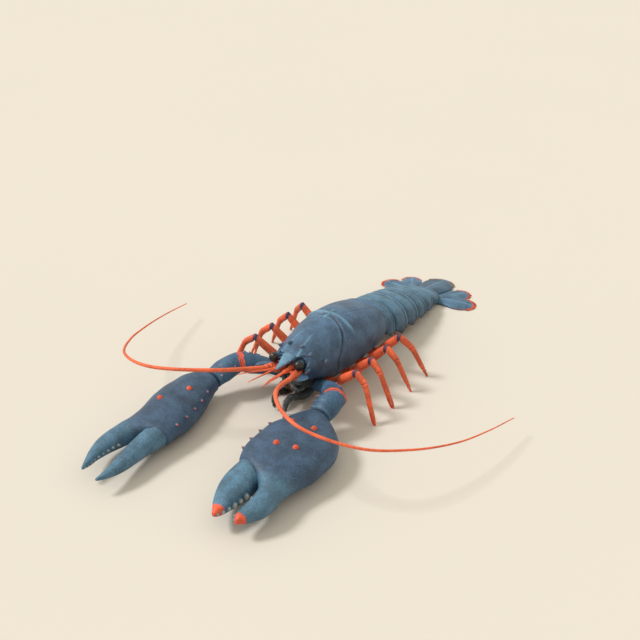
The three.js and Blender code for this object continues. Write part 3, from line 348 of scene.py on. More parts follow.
def wrap(bm, rings):
    """A closed skin: a flat grid brought round through rings of (point, tint), its ends shut."""
    rings = [drawn_in(rings[0], 0), drawn_in(rings[0], 0.5), *rings]
    rings += [drawn_in(rings[-1], 0.5), drawn_in(rings[-1], 0)]
    rows = len(rings) - 1
    around = len(rings[0])
    paint = bm.verts.layers.float_color["paint"]
    grid = bmesh.ops.create_grid(bm, x_segments=rows, y_segments=around, size=0.5)["verts"]
    for vert in grid:
        row = round((vert.co.x + 0.5) * rows)
        point, tint = rings[row][round((vert.co.y + 0.5) * around) % around]
        vert.co = point
        vert[paint] = (*tint, 1)
    bmesh.ops.remove_doubles(bm, verts=grid, dist=1e-4)


def piece(name, bm, finish, slot, *nodes):
    """Makes a mesh a piece: kept above the floor, in metres, hung from the root, and with the given nodes of
    the frame hidden.
    """
    for vert in bm.verts:
        vert.co.z = max(vert.co.z, 0.0)
    bmesh.ops.recalc_face_normals(bm, faces=bm.faces)
    bmesh.ops.scale(bm, vec=(MM, MM, MM), verts=bm.verts)
    made = meshed(name, bm, finish)
    made.data.shade_smooth()
    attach(made, "root")
    if nodes:
        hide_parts(*nodes)


def between(marks, values, place):
    """The value at a place, read between the marks on either side of it."""
    i = min(max(bisect_right(marks, place) - 1, 0), len(marks) - 2)
    share = (place - marks[i]) / (marks[i + 1] - marks[i])
    return lerp(values[i], values[i + 1], min(max(share, 0), 1))


class Path:
    """A smooth curve through points, by its knots or by the length along it."""

    def __init__(self, points):
        self.points = [Vector(point[:3]) for point in points]
        self.spans = [sqrt((b - a).length) for a, b in zip(self.points, self.points[1:])]
        self.knots = [sum(self.spans[:i]) for i in range(len(self.points))]
        steps = 24 * len(self.spans)
        self.marks = [self.knots[-1] * i / steps for i in range(steps + 1)]
        spots = [self.at(mark) for mark in self.marks]
        self.lengths = [0.0]
        for before, after in zip(spots, spots[1:]):
            self.lengths.append(self.lengths[-1] + (after - before).length)
        self.length = self.lengths[-1]

    def at(self, knot):
        knot = min(max(knot, 0), self.knots[-1])
        i = min(bisect_right(self.knots, knot) - 1, len(self.spans) - 1)
        a, b = self.points[i], self.points[i + 1]
        span = self.spans[i]
        before = self.points[i - 1] if i > 0 else a * 2 - b
        after = self.points[i + 2] if i + 2 < len(self.points) else b * 2 - a
        span_before = self.spans[i - 1] if i > 0 else span
        span_after = self.spans[i + 1] if i + 2 < len(self.points) else span
        leave = (a - before) / span_before - (b - before) / (span_before + span) + (b - a) / span
        arrive = (b - a) / span - (after - a) / (span + span_after) + (after - b) / span_after
        return smooth_step(a, b, leave, arrive, span, (knot - self.knots[i]) / span)

    def knot(self, length):
        return between(self.lengths, self.marks, length)

    def facing(self, knot):
        small = self.knots[-1] * 0.004
        return (self.at(knot + small) - self.at(knot - small)).normalized()

    def sizes(self, values):
        """A size along the curve, smooth through its values at the points."""
        return profile(*zip(self.knots, values))


def across_to(facing, across=None):
    """Two directions square to a facing: one level, or along `across`, and one upward."""
    level = Vector(across) if across else facing.cross(UP)
    if level.length < 1e-3:
        level = Vector((1, 0, 0))
    level = (level - facing * level.dot(facing)).normalized()
    return level, level.cross(facing).normalized()


def limb(bm, stops, step, around=32, start=None, end=None, across=None, square=1.0, edge=0.6,
         joints=(), swell=lambda place, angle: 0, tint=lambda place, angle: UNTINTED):
    """A closed skin along a smooth path through stops of x, y, z, half width and, where it is
    another, half height. The ends are rounded off by `edge` and may be turned to face a
    neighbour. At each of the stops in `joints` two segments meet in a notch. swell(place, angle)
    adds millimetres, and tint(place, angle) gives the paint."""
    path = Path(stops)
    wide = path.sizes([stop[3] for stop in stops])
    high = path.sizes([stop[-1] for stop in stops])
    notches = [between(path.marks, path.lengths, path.knots[i]) for i in joints]
    near = [0, edge * 0.08, edge * 0.35, edge]
    count = max(ceil((path.length - 2 * edge) / step), 2)
    places = [lerp(edge, path.length - edge, i / count) for i in range(1, count)]
    places = near + places + [path.length - place for place in reversed(near)]
    rings = []
    for place in places:
        knot = path.knot(place)
        facing = path.facing(knot)
        reach = 2 * max(wide(knot), high(knot))
        for turned, distance in ((start, place), (end, path.length - place)):
            if turned is not None:
                facing = turned.normalized().lerp(facing, rise(distance, 0, reach)).normalized()
        level, upward = across_to(facing, across)
        to_end = min(place, path.length - place)
        sunk = edge * (1 - sqrt(1 - (1 - to_end / edge) ** 2)) if to_end < edge else 0
        for notch in notches:
            sunk += 0.55 * bump(place - notch, 0.45) - 0.3 * bump(abs(place - notch) - 1.3, 0.7)
        ring = []
        for angle in turns(around):
            extra = swell(place, angle) - sunk
            half_wide = squared(cos(angle), square) * max(wide(knot) + extra, 0.05)
            half_high = squared(sin(angle), square) * max(high(knot) + extra, 0.05)
            ring.append((path.at(knot) + level * half_wide + upward * half_high, tint(place, angle)))
        rings.append(ring)
    wrap(bm, rings)


def paler(light, first, last):
    """Paint that pales to a share of light between two places along a limb."""
    return lambda place, angle: (0.0, light * rise(place, first, last), 0.0)


def round_stops(at, along, radius, sizes):
    """Stops of a round form that grows along a line, by shares of the line and of the radius."""
    return [(*(at + along * share), radius * size) for share, size in sizes]


def line_stops(first, last, *rows):
    """Stops of a limb at shares of a straight line, each with its half width and half height."""
    return [(*first.lerp(last, share), *sizes) for share, *sizes in rows]


def thorn(bm, at, direction, length, radius, sunk=1.6, red=0.8, light=0.45, tip=0.07):
    """A spine whose foot flares into the shell that carries it. Its colour pales up to a red tip."""
    sizes = ((-sunk / length, 1.45), (0, 1.04), (0.3, 0.66), (0.68, 0.36), (1, tip))

    def paint(place, angle):
        share = (place - sunk) / length
        pale = light * rise(share, -0.1, 0.4) * (1 - rise(share, 0.45, 0.7))
        return red * rise(share, 0.55, 0.8), pale, 0.0

    stops = round_stops(at, direction.normalized() * length, radius, sizes)
    limb(bm, stops, length / 7, 14, edge=radius * tip, tint=paint)


def thorns(bm, side, rows, **paint):
    """Spines of one side, each by its place, direction, length and radius."""
    for at, direction, length, radius in rows:
        thorn(bm, on_side(side, at), on_side(side, direction), length, radius, **paint)


OVER_BACK = 0.62
ROUND_EDGE = 0.77
SKIRT_INSIDE = 0.82
BACK_ROUNDNESS = 0.92


def arch(y, around, half_width, top, widest, edge_x, edge_z, skirt, under_x, under, sweep, lift, tint):
    """One ring across shell or tail: up and over the back, round the lower edges and back along
    the underside. lift(x, drop) raises its surface, where drop runs from 0 on top to 1."""
    ring = []
    for i in range(around):
        share = 2 * (i + 0.5) / around - 1
        side = copysign(1, share)
        reach = abs(share)
        drop = min(reach / OVER_BACK, 1)
        outward = Vector()
        if reach < OVER_BACK:
            turn = drop * pi / 2
            x = half_width * sin(turn) ** BACK_ROUNDNESS
            z = widest + (top - widest) * cos(turn) ** BACK_ROUNDNESS
            outward = Vector((side * sin(turn), 0, cos(turn)))
        elif reach < ROUND_EDGE:
            turn = (reach - OVER_BACK) / (ROUND_EDGE - OVER_BACK) * pi / 2
            x = half_width - (half_width - edge_x) * (1 - cos(turn))
            z = widest - (widest - edge_z) * sin(turn)
            outward = Vector((side * cos(turn), 0, 0))
        elif reach < SKIRT_INSIDE:
            inside = (reach - ROUND_EDGE) / (SKIRT_INSIDE - ROUND_EDGE)
            x = edge_x - skirt * inside
            z = edge_z - 0.25 * skirt * sin(pi * inside)
        else:
            inside = (reach - SKIRT_INSIDE) / (1 - SKIRT_INSIDE)
            x = lerp(edge_x - skirt, under_x, min(inside * 4, 1)) * (1 - rise(inside, 0.25, 1.05))
            z = lerp(edge_z, under, rise(inside, 0, 0.25))
        point = Vector((side * x, y + sweep * drop ** SWEEP_POWER, z)) + outward * lift(side * x, drop)
        ring.append((point, tint(side * x, drop, point)))
    return ring


def orbit_notch(x, z):
    """How far the shell's front edge is drawn back round an eye."""
    distance = sqrt((abs(x) - ORBIT[0]) ** 2 + (z - ORBIT[1]) ** 2)
    return ORBIT_DEPTH * (1 - rise(distance, ORBIT_RADIUS - 2.2, ORBIT_RADIUS + 0.8))


def shell_ring(y):
    sweep = -GROOVE_SWEEP * rise(min(y - SHELL_FRONT, SHELL_REAR - y), 0, 62)
    at_side = y + sweep
    from_groove = y - GROOVE_Y
    beak_ridge_x = lerp(5.2, 8.8, (-28 - y) / 32)
    beak_ridge = rise(-y, 26, 40)

    def crest(x, drop):
        """The ridge straight across the back, behind the groove, and the short bar across it."""
        ridge = bump(y + sweep * drop ** SWEEP_POWER - RIDGE_Y, 1.8) * (1 - rise(drop, 0.5, 0.72))
        return max(ridge, bump(x, 1.4) * (1 - rise(abs(y - RIDGE_Y), 7, 10)))

    def lift(x, drop):
        rims = 0.4 * bump(from_groove - GROOVE_RIM, 1.8) + 0.7 * bump(from_groove + GROOVE_RIM, 1.8)
        height = (rims - GROOVE_DEPTH * bump(from_groove, 1.25)) * (1 - 0.5 * rise(drop, 0.6, 1))
        height += RIDGE_HEIGHT * crest(x, drop)
        height -= 0.4 * bump(x, 0.4) * rise(abs(y - RIDGE_Y), 12, 17) * (1 - beak_ridge)
        height += 0.8 * bump(abs(x) - beak_ridge_x, 1.1) * beak_ridge
        height -= 0.45 * bump(abs(x) - (8.5 + 0.16 * (y - 8)), 0.8) * rise(y, 9, 18) * (1 - rise(y, 50, 60))
        height += 0.55 * bump(y - 66.4, 1.0) - 0.9 * bump(y - 63.2, 1.3)
        return height + 0.35 * noise.noise(Vector((x, y, 40 * drop)) / 15)

    def tint(x, drop, point):
        rims = 0.3 * bump(from_groove + 3.4, 1.5) * (1 - rise(drop, 0.5, 0.8))
        beak = 0.6 * bump(abs(x) - beak_ridge_x, 1.3) * beak_ridge
        rear_rim = 0.5 * bump(y - 67, 1.2)
        # Painted light: the top of the back is painted a little paler.
        back = 0.1 * (1 - rise(drop, 0.1, 0.6))
        light = min(1.15 * crest(x, drop) + rims + beak + rear_rim + back, 1)
        # Painted shade: darker in the neck groove and on the lower sides and underside.
        dark = 0.75 * bump(from_groove, 1.1) + 0.36 * rise(drop, 0.8, 1)
        return 0.0, light, min(dark, 1) * (1 - light)

    ring = arch(
        y, SHELL_POINTS, SHELL_HALF_WIDTH(at_side), SHELL_TOP(y), SHELL_WIDEST(at_side),
        SHELL_EDGE_X(at_side), SHELL_EDGE_Z(at_side), SHELL_SKIRT,
        SHELL_EDGE_X(y) - 2 * SHELL_SKIRT, SHELL_UNDER(y), sweep, lift, tint,
    )
    fade = 1 - rise(y, SHELL_FRONT, SHELL_FRONT + 13)
    for point, _ in ring:
        point.y += orbit_notch(point.x, point.z) * fade
    return ring


RIM_RECESS = ((0.9, 5.4), (0.935, 5.0), (0.95, 1.0), (0.975, -0.1), (0.995, 0.1))
front_rim = shell_ring(SHELL_FRONT)
rear_rim = shell_ring(SHELL_REAR)
front_rings = [drawn_in(front_rim, share, back) for share, back in RIM_RECESS]
rear_rings = [drawn_in(rear_rim, share, -back) for share, back in reversed(RIM_RECESS)]
for ring in front_rings[:2]:
    for point, _ in ring:
        point.y = min(point.y, SHELL_FRONT + RIM_RECESS[0][1])
shell_rows = [SHELL_FRONT + 0.6 + i * SHELL_PITCH for i in range(170)]
shell_rings = [shell_ring(y) for y in shell_rows if y < SHELL_REAR - 0.5]
bm = blank()
wrap(bm, front_rings + shell_rings + rear_rings)

beak_root = Vector((0, SHELL_FRONT + 12, SHELL_TOP(SHELL_FRONT + 12) - 5))
beak_length = (BEAK_TIP - beak_root).length


def beak_half_width(share):
    return lerp(BEAK_HALF_WIDTH, BEAK_TIP_RADIUS, share ** 1.1)


def beak_swell(place, angle):
    """A channel along the top between raised margins."""
    margins = bump(angle - 0.2 * pi, 0.25) + bump(angle - 0.8 * pi, 0.25)
    return (1 - 0.8 * place / beak_length) * (0.7 * margins - 1.5 * bump(angle - pi / 2, 0.45))


beak_stops = [
    (*beak_root.lerp(BEAK_TIP, t), beak_half_width(t), lerp(BEAK_HALF_HEIGHT, BEAK_TIP_RADIUS, t ** 0.8))
    for t in (0, 0.2, 0.4, 0.6, 0.8, 0.93, 1)
]
limb(bm, beak_stops, 0.5, 40, edge=0.4, square=0.9, across=(1, 0, 0), swell=beak_swell,
     tint=paler(0.85, 4, 14))
for side in SIDES.values():
    for i in range(BEAK_SPINES):
        share = 0.5 + 0.15 * i
        at = beak_root.lerp(BEAK_TIP, share)
        at.x = side * (beak_half_width(share) - 0.7)
        thorn(bm, at, Vector((side * 0.55, -1, 0.35)), 3.4 - 0.5 * i, 1.3)
    thorns(bm, side, FRONT_SPINES)
piece("back_shell", bm, shell_finish("back_shell_blue", SHELL_BLUE), "shell_blue", "carapace")


# Breast. The plates between the legs are fused into one hard keel, slate above and paler below,
# which carries every limb and closes the animal beneath the shell.
BREAST_SLATE = (50, 58, 62)
BREAST_BOTTOM = profile((-56, 17), (-40, 12.5), (-20, 10.5), (45, 10.5), (64, 14))
BREAST_FRONT = -56
BREAST_INSET = 5
BREAST_SQUARE = 0.4
BREAST_PITCH = 0.8
BREAST_ROWS = 151
BREAST_POINTS = 96
LEG_ROOT_Y = (-24, -1, 22, 44)
BREAST_SEAMS = (-35.5, -12.5, 10.5, 33.5)


def breast_ring(y):
    half_width = SHELL_EDGE_X(y) - BREAST_INSET
    top = SHELL_UNDER(y) - 0.5
    bottom = BREAST_BOTTOM(y)
    seams = sum(bump(y - seam, 1.0) for seam in BREAST_SEAMS)
    ring = []
    for angle in turns(BREAST_POINTS):
        below = max(-sin(angle), 0)
        x = squared(cos(angle), BREAST_SQUARE) * half_width
        z = (top + bottom) / 2 + squared(sin(angle), BREAST_SQUARE) * (top - bottom) / 2
        z += below * (1.1 * seams + 0.9 * bump(x, 1.1)) - 0.3 * below * bump(abs(x) - 5, 3)
        tint = (0.05 * below, 0.25 * max(sin(angle), 0), 0.6 * seams * below)
        ring.append((Vector((x, y, z)), tint))
    return drawn_in(ring, 1 - 0.1 * (1 - rise(y, BREAST_FRONT - 0.5, BREAST_FRONT + 3)))


bm = blank()
breast_rings = [breast_ring(BREAST_FRONT + BREAST_PITCH * i) for i in range(BREAST_ROWS)]
for share in (0.9, 0.8):
    breast_rings.insert(0, drawn_in(breast_rings[0], share, -0.4))
wrap(bm, breast_rings + [drawn_in(breast_rings[-1], 0.93, 0.35)])
breast_finish = shell_finish("breast_slate", BREAST_SLATE, dark=(44, 48, 50), light=(84, 96, 102))
piece("breast_keel", bm, breast_finish, "breast_slate", "sternum")


# Eyes. Two dark beads of tiny facets, each on a short stalk that turns in a notch of the shell
# beside the beak.
EYE_CENTRE = (13.8, -64.5, 48.7)
EYE_RADIUS = 4.7
EYE_FLATNESS = 0.94
STALK_ROOT = (9.8, -54.5, 46.4)
STALK_SIZES = ((0, 2.9), (3.2, 2.75), (5.6, 2.9), (7.4, 3.7), (8.7, 4.3), (9.6, 4.3))
EYE_BLACK = (26, 23, 22)
FACET_BLACK = (12, 11, 12)
ARM_BLUE = (58, 90, 121)


def eye_finish():
    finish = Finish("eye_facets")
    facets = finish.cells(3200).ramp(0.0, 0.55)
    sheen = finish.clouds(160, 2).ramp(0.35, 0.65)
    colour = finish.mix(sheen, linear(EYE_BLACK, 0.7), linear(EYE_BLACK, 1.35))
    return finish.shade({
        "Base Color": finish.mix(facets * 0.25, colour, linear(FACET_BLACK)),
        "Roughness": 0.3,
        "Specular IOR Level": 0.35,
        "Coat Weight": 0.3,
        "Coat Roughness": 0.1,
        "Normal": finish.bump(1 - facets, 0.00005),
    })


def aimed(place, direction):
    """Brings a form that stands at the origin to a place, with its top toward a direction."""
    return Matrix.Translation(place) @ direction.to_track_quat("Z", "Y").to_matrix().to_4x4()


arm_finish = shell_finish("arm_blue", ARM_BLUE)
beads = eye_finish()
for tag, side in SIDES.items():
    centre = on_side(side, EYE_CENTRE)
    root = on_side(side, STALK_ROOT)
    outward = (centre - root).normalized()
    bm = blank()
    bead = bmesh.ops.create_uvsphere(bm, u_segments=48, v_segments=32, radius=EYE_RADIUS)["verts"]
    bmesh.ops.scale(bm, vec=(1, 1, EYE_FLATNESS), verts=bead)
    bmesh.ops.transform(bm, matrix=aimed(centre, outward), verts=bead)
    piece(f"{tag}_eye_bead", bm, beads, "eye_black", f"eye_{tag}")
    bm = blank()
    limb(bm, round_stops(root, outward, 1, STALK_SIZES), 0.35, 36, edge=0.5, joints=(1,))
    piece(f"{tag}_eye_stalk", bm, arm_finish, "arm_blue", f"eyestalk_{tag}")


# Long antennae. A stem of three stout segments comes out beside each eye and carries a whip of
# some hundreds of short horny rings that thins to a hair.
ANTENNA_LINE = (
    (8.9, -56.5, 36.2), (33.8, -125.4, 59), (77.2, -155.2, 62.8), (123.6, -140.9, 52.6),
    (152.2, -107.3, 42.2), (171.8, -65.4, 31.7), (181.9, -28.5, 25.1), (188.9, 11, 18.3),
)
STEM_LENGTH = 22
STEM_RADIUS = 4.7
STEM_SIZES = ((5, 1.0), (10.2, 0.98), (11.6, 0.84), (16.8, 0.8), (17.8, 0.68), (STEM_LENGTH, 0.62))
STEM_SPINES = (
    ((15.4, -68, 42), (0.5, -1, 0.25), 3.6, 1.3), ((9.2, -70.5, 43.6), (-0.3, -1, 0.5), 2.4, 1.0),
)
WHIP_RADIUS = 2.3
WHIP_TIP_RADIUS = 0.45
WHIP_PITCH = 1.35
LIMB_ORANGE = (212, 96, 63)
LIMB_RED = (192, 70, 44)
LIMB_SPECK = (184, 74, 50)
KNEE_BLUE = (44, 60, 94)
WHIP_PALE = (222, 116, 80)


def whip(bm, path, first, root_radius, tip_radius, pitch, around=12, power=0.8):
    """A whip from a length along its path to the path's end. Each horny ring swells and pinches."""
    rings = []
    place = first
    while place < path.length:
        share = (place - first) / (path.length - first)
        step = lerp(pitch, pitch * 0.7, share)
        radius = lerp(root_radius, tip_radius, share ** power)
        for part, size in ((0, 0.87), (0.28, 1.0), (0.74, 0.98)):
            knot = path.knot(place + part * step)
            level, upward = across_to(path.facing(knot))
            tint = (0.0, 0.0 if part else 0.35 * (1 - share), 0.0)
            spots = [level * cos(angle) + upward * sin(angle) for angle in turns(around)]
            rings.append([(path.at(knot) + spot * radius * size, tint) for spot in spots])
        place += step
    wrap(bm, rings)


orange_finish = shell_finish("limb_orange", LIMB_ORANGE, KNEE_BLUE, WHIP_PALE, LIMB_RED, LIMB_SPECK)
for tag, side in SIDES.items():
    line = Path(mirrored(side, ANTENNA_LINE))
    bm = blank()
    stops = [(side * 9.4, SHELL_FRONT + 4, 36.4, STEM_RADIUS * 0.92)]
    stops += [(*line.at(line.knot(place)), STEM_RADIUS * size) for place, size in STEM_SIZES]
    limb(bm, stops, 0.5, 40, joints=(3, 5), edge=0.7)
    thorns(bm, side, STEM_SPINES, red=0)
    piece(f"{tag}_stem", bm, orange_finish, "limb_orange", f"antenna_stem_{tag}")
    bm = blank()
    whip(bm, line, STEM_LENGTH - 0.8, WHIP_RADIUS, WHIP_TIP_RADIUS, WHIP_PITCH)
    nodes = [f"antenna_{tag}_{i}" for i in (1, 2, 3)]
    piece(f"{tag}_whip", bm, orange_finish, "limb_orange", *nodes)


# Antenna scales. A pointed leaf of shell stands outside each stem, with a keel along its outer
# edge and a fringe of stiff hairs along the inner one.
SCALE_LEAF = (
    (16.0, -57.5, 39.3, 1.6), (17.4, -61.2, 39.7, 2.1), (19.6, -64, 40.4, 3.3), (21.9, -69, 41.6, 4.2),
    (22.8, -74, 42.8, 3.2), (23, -80, 44.4, 0.5),
)
SCALE_THICKNESS = 0.8
SCALE_HAIRS = 46
BRISTLE_RED = (192, 74, 46)
BRISTLE_BROWN = (142, 98, 70)


def bristle(bm, root, tip, radius):
    """One stiff hair: a thin cone."""
    along = tip - root
    bmesh.ops.create_cone(bm, cap_ends=True, segments=4, radius1=radius, radius2=radius * 0.2,
                          depth=along.length, matrix=aimed((root + tip) / 2, along))


def bristle_finish(name, base):
    finish = Finish(name)
    tone = finish.clouds(500, 2).ramp(0.35, 0.65)
    colour = finish.mix(tone, linear(base, 0.75), linear(base, 1.15))
    return finish.shade({"Base Color": colour, "Roughness": 0.6, "Specular IOR Level": 0.3})


red_bristles = bristle_finish("red_bristles", BRISTLE_RED)
brown_bristles = bristle_finish("brown_bristles", BRISTLE_BROWN)
draw = random.Random(4)
for tag, side in SIDES.items():
    def keel(place, angle):
        return 0.45 * bump(cos(angle) + side * 0.75, 0.18) + 0.15 * bump(cos(angle) - side * 0.1, 0.1)

    bm = blank()
    stops = [(*stop, SCALE_THICKNESS) for stop in mirrored(side, SCALE_LEAF)]
    limb(bm, stops, 0.5, 40, across=(1, 0, 0), edge=0.35, swell=keel,
         tint=lambda place, angle: (0.0, 0.5 * bump(abs(cos(angle)) - 1, 0.1), 0.0))
    piece(f"{tag}_scale_leaf", bm, arm_finish, "arm_blue", f"antenna_scale_{tag}")
    bm = blank()
    inner_edge = Path([(side * (x - wide + 0.3), y, z) for x, y, z, wide in SCALE_LEAF[2:]])
    for i in range(SCALE_HAIRS):
        share = i / (SCALE_HAIRS - 1)
        root = inner_edge.at(inner_edge.knots[-1] * share)
        reach = 2.6 * (1 - 0.5 * share) * draw.uniform(0.8, 1.1)
        lean = Vector((-side * 0.75, -0.8, -0.1 + draw.uniform(-0.15, 0.15))).normalized()
        bristle(bm, root, root + lean * reach, 0.13)
    piece(f"{tag}_scale_fringe", bm, brown_bristles, "limb_orange")


# Antennules. Between the long antennae stand two short jointed stems, each forked into two thin
# ringed feelers.
ANTENNULE_STEM = (
    (4.2, -55, 42.6, 2.3), (4.4, -60.3, 43, 2.3), (4.6, -65, 43.4, 2.2), (4.8, -68, 43.7, 2.0),
    (4.95, -71.5, 44, 1.9), (5.2, -76, 44.8, 1.75),
)
FEELERS = (
    ((5.6, -74, 44.6), (7.6, -84, 47), (10.6, -96, 50.6), (13.2, -106, 53.6), (15, -114.4, 55.6)),
    ((4.8, -74, 44.4), (5, -84, 45.8), (5.4, -94, 47.2), (6.4, -103, 48), (7.6, -110, 48)),
)
for tag, side in SIDES.items():
    bm = blank()
    limb(bm, mirrored(side, ANTENNULE_STEM), 0.45, 28, joints=(2, 4))
    for points in FEELERS:
        whip(bm, Path(mirrored(side, points)), 0, 1.0, 0.33, 0.9, around=10, power=1.3)
    piece(f"{tag}_feelers", bm, orange_finish, "limb_orange", f"antennule_{tag}")


# Mouth. Behind the mouth limbs two hard jaws close against each other under a rounded lip, and two
# small pairs of jointed feelers with brushes of hair work in front of them.
JAW_SLATE = (66, 82, 94)
JAW_BONE = (160, 156, 140)
LIP = ((0, -54.5, 28.6, 5, 2.6), (0, -57.6, 28, 4.6, 2.4), (0, -58.6, 27.2, 3.2, 1.6))
JAW = (
    (8.6, -54.8, 25.4, 3), (6.6, -57.6, 25, 3.2), (3.4, -59, 23.8, 2.7, 2.8), (0.75, -59.5, 23, 1.8, 2.3),
)
OUTER_PALP = (
    (8.4, -53.5, 18.4, 2.2), (8.8, -58.6, 18.2, 2.2, 2.1), (8.4, -61.4, 20.2, 1.7, 1.8),
    (6.4, -62.8, 23.2, 1.9, 1.7), (4.2, -63.2, 24.4, 1.3), (2.3, -62.6, 22.8, 0.7),
)
INNER_PALP = (
    (5.2, -54.5, 18.6, 1.9, 1.7), (5, -59.4, 18.2, 1.8, 1.6), (3.8, -61.4, 19.2, 1.3),
    (1.9, -61.8, 20.6, 0.7),
)
PALP_HAIRS = 70
mouth_bm = blank()
brush_bm = blank()
limb(mouth_bm, LIP, 0.4, 28, across=(1, 0, 0), edge=1.2)
for side in SIDES.values():
    limb(mouth_bm, mirrored(side, JAW), 0.4, 28, edge=0.8, joints=(2,), tint=paler(0.9, 7.4, 9.2))
    for palp, joints in ((OUTER_PALP, (2, 4)), (INNER_PALP, (1,))):
        stops = mirrored(side, palp)
        limb(mouth_bm, stops, 0.35, 24, joints=joints, edge=0.4, tint=paler(0.25, 6, 12))
        path = Path(stops)
        for i in range(PALP_HAIRS):
            knot = path.knots[-1] * draw.uniform(0.35, 0.99)
            inward = Vector((-side * draw.uniform(0.3, 1), -0.5, draw.uniform(-1, 0.3))).normalized()
            root = path.at(knot) + inward * 0.8
            bristle(brush_bm, root, root + inward * draw.uniform(1.2, 2.4), 0.11)
piece("mouth_parts", mouth_bm, shell_finish("jaw_slate", JAW_SLATE, light=JAW_BONE), "breast_slate")
piece("mouth_brushes", brush_bm, brown_bristles, "limb_orange")


# Mouth limbs. The outer pair of the mouth's helpers folds down before it like two short legs. Each
# is toothed along the inside and thick with hair.
MOUTH_LIMB = (
    (9, -32, 14, 4), (9, -43, 8.6, 4.2, 4), (8.8, -51.5, 8.6, 4.5, 3.9), (8.6, -55, 9.4, 3.4, 3.2),
    (8.2, -62, 12.4, 3.9, 3.6), (8, -65, 13.9, 2.8), (7.5, -69, 15.2, 3.2, 3.1), (7.3, -71, 15, 2.3),
    (7, -74, 12.6, 2.7, 2.5), (6.7, -75.6, 9, 2.2, 2.1), (6.6, -76, 7.4, 1.5), (6.45, -75.7, 4.4, 1.1),
    (6.4, -75.5, 2.8, 0.6),
)
MOUTH_TEETH = 16
MOUTH_HAIRS = 380
for tag, side in SIDES.items():
    bm = blank()
    stops = mirrored(side, MOUTH_LIMB)
    path = Path(stops)
    width = path.sizes([stop[3] for stop in stops])
    limb(bm, stops, 0.45, 36, across=(1, 0, 0), joints=(3, 5, 7, 10), edge=0.5,
         tint=paler(0.3, 20, 60))
    for i in range(MOUTH_TEETH):
        knot = path.knot(lerp(13, 37, i / (MOUTH_TEETH - 1)))
        root = path.at(knot) + Vector((-side * width(knot) * 0.92, 0, 0.6))
        thorn(bm, root, Vector((-side, -0.3, 0.25)), 0.9, 0.55, sunk=0.5, red=0, light=0.9)
    piece(f"{tag}_mouth_limb", bm, breast_finish, "breast_slate", f"maxilliped_{tag}")
    bm = blank()
    for i in range(MOUTH_HAIRS):
        knot = path.knot(lerp(16, path.length - 1.5, draw.random()))
        inward = Vector((-side, -0.2, draw.uniform(-1.1, 0.9))).normalized()
        root = path.at(knot) + inward * (width(knot) * 0.85)
        lean = (inward + path.facing(knot) * 0.9 + Vector((0, 0, -0.2))).normalized()
        bristle(bm, root, root + lean * draw.uniform(2.0, 3.6), 0.13)
    piece(f"{tag}_mouth_hairs", bm, brown_bristles, "limb_orange")


# Tail. Six rings of shell slide into one another, each with a smooth front band, a groove, a
# polished rear rim and a lobe that hangs over its side. The last ring carries the roots of the
# fan, and under each of the middle four hang four orange leaves edged with hair.
TAIL_PARTINGS = (68.15, 81, 106, 130, 152, 173, 199)
TAIL_GAP = 0.3
TAIL_PITCH = 0.42
TAIL_POINTS = 168
TAIL_HALF_WIDTH = profile((68, 26), (92, 29), (118, 28.3), (140, 27), (162, 25), (186, 21.5), (199, 18))
TAIL_TOP = profile((68, 51.5), (87, 47), (118, 40), (143, 33.5), (163, 27), (180, 20), (199, 12))
TAIL_WIDEST = profile((68, 26), (106, 20.5), (130, 17.5), (152, 14.5), (173, 10.5), (199, 6))
TAIL_LOBE_TIP = profile((76, 17), (104, 8.5), (128, 7), (150, 5.5), (171, 4), (197, 2))
TAIL_LOBE = profile((0.1, 0), (0.4, 0.44), (0.62, 0.76), (0.8, 1.08), (0.86, 0.98), (0.94, 0.5), (1, 0.1))
TAIL_EDGE = 0.93
TAIL_BLUE = (75, 110, 139)
TAIL_RIM = ((1, 0.15), (0.985, 0), (0.96, 0.3), (0.945, 3.2), (0.9, 3.4))
LAST_RING = 5
FAN_STUB = ((10, 184, 6.4, 3.6, 2.6), (13.5, 190, 5.2, 4.2, 3), (16.5, 198, 4.4, 5, 2.9),
            (18.2, 203, 3.8, 4.6, 2.5), (19, 205.3, 3.6, 3.2, 2))
FAN_SPINE = ((20.6, 203.4, 4.6), (0.7, 1, 0.1), 2.4, 1.2)
SWIMMERET_LENGTH = 15
SWIMMERET_HAIRS = 26


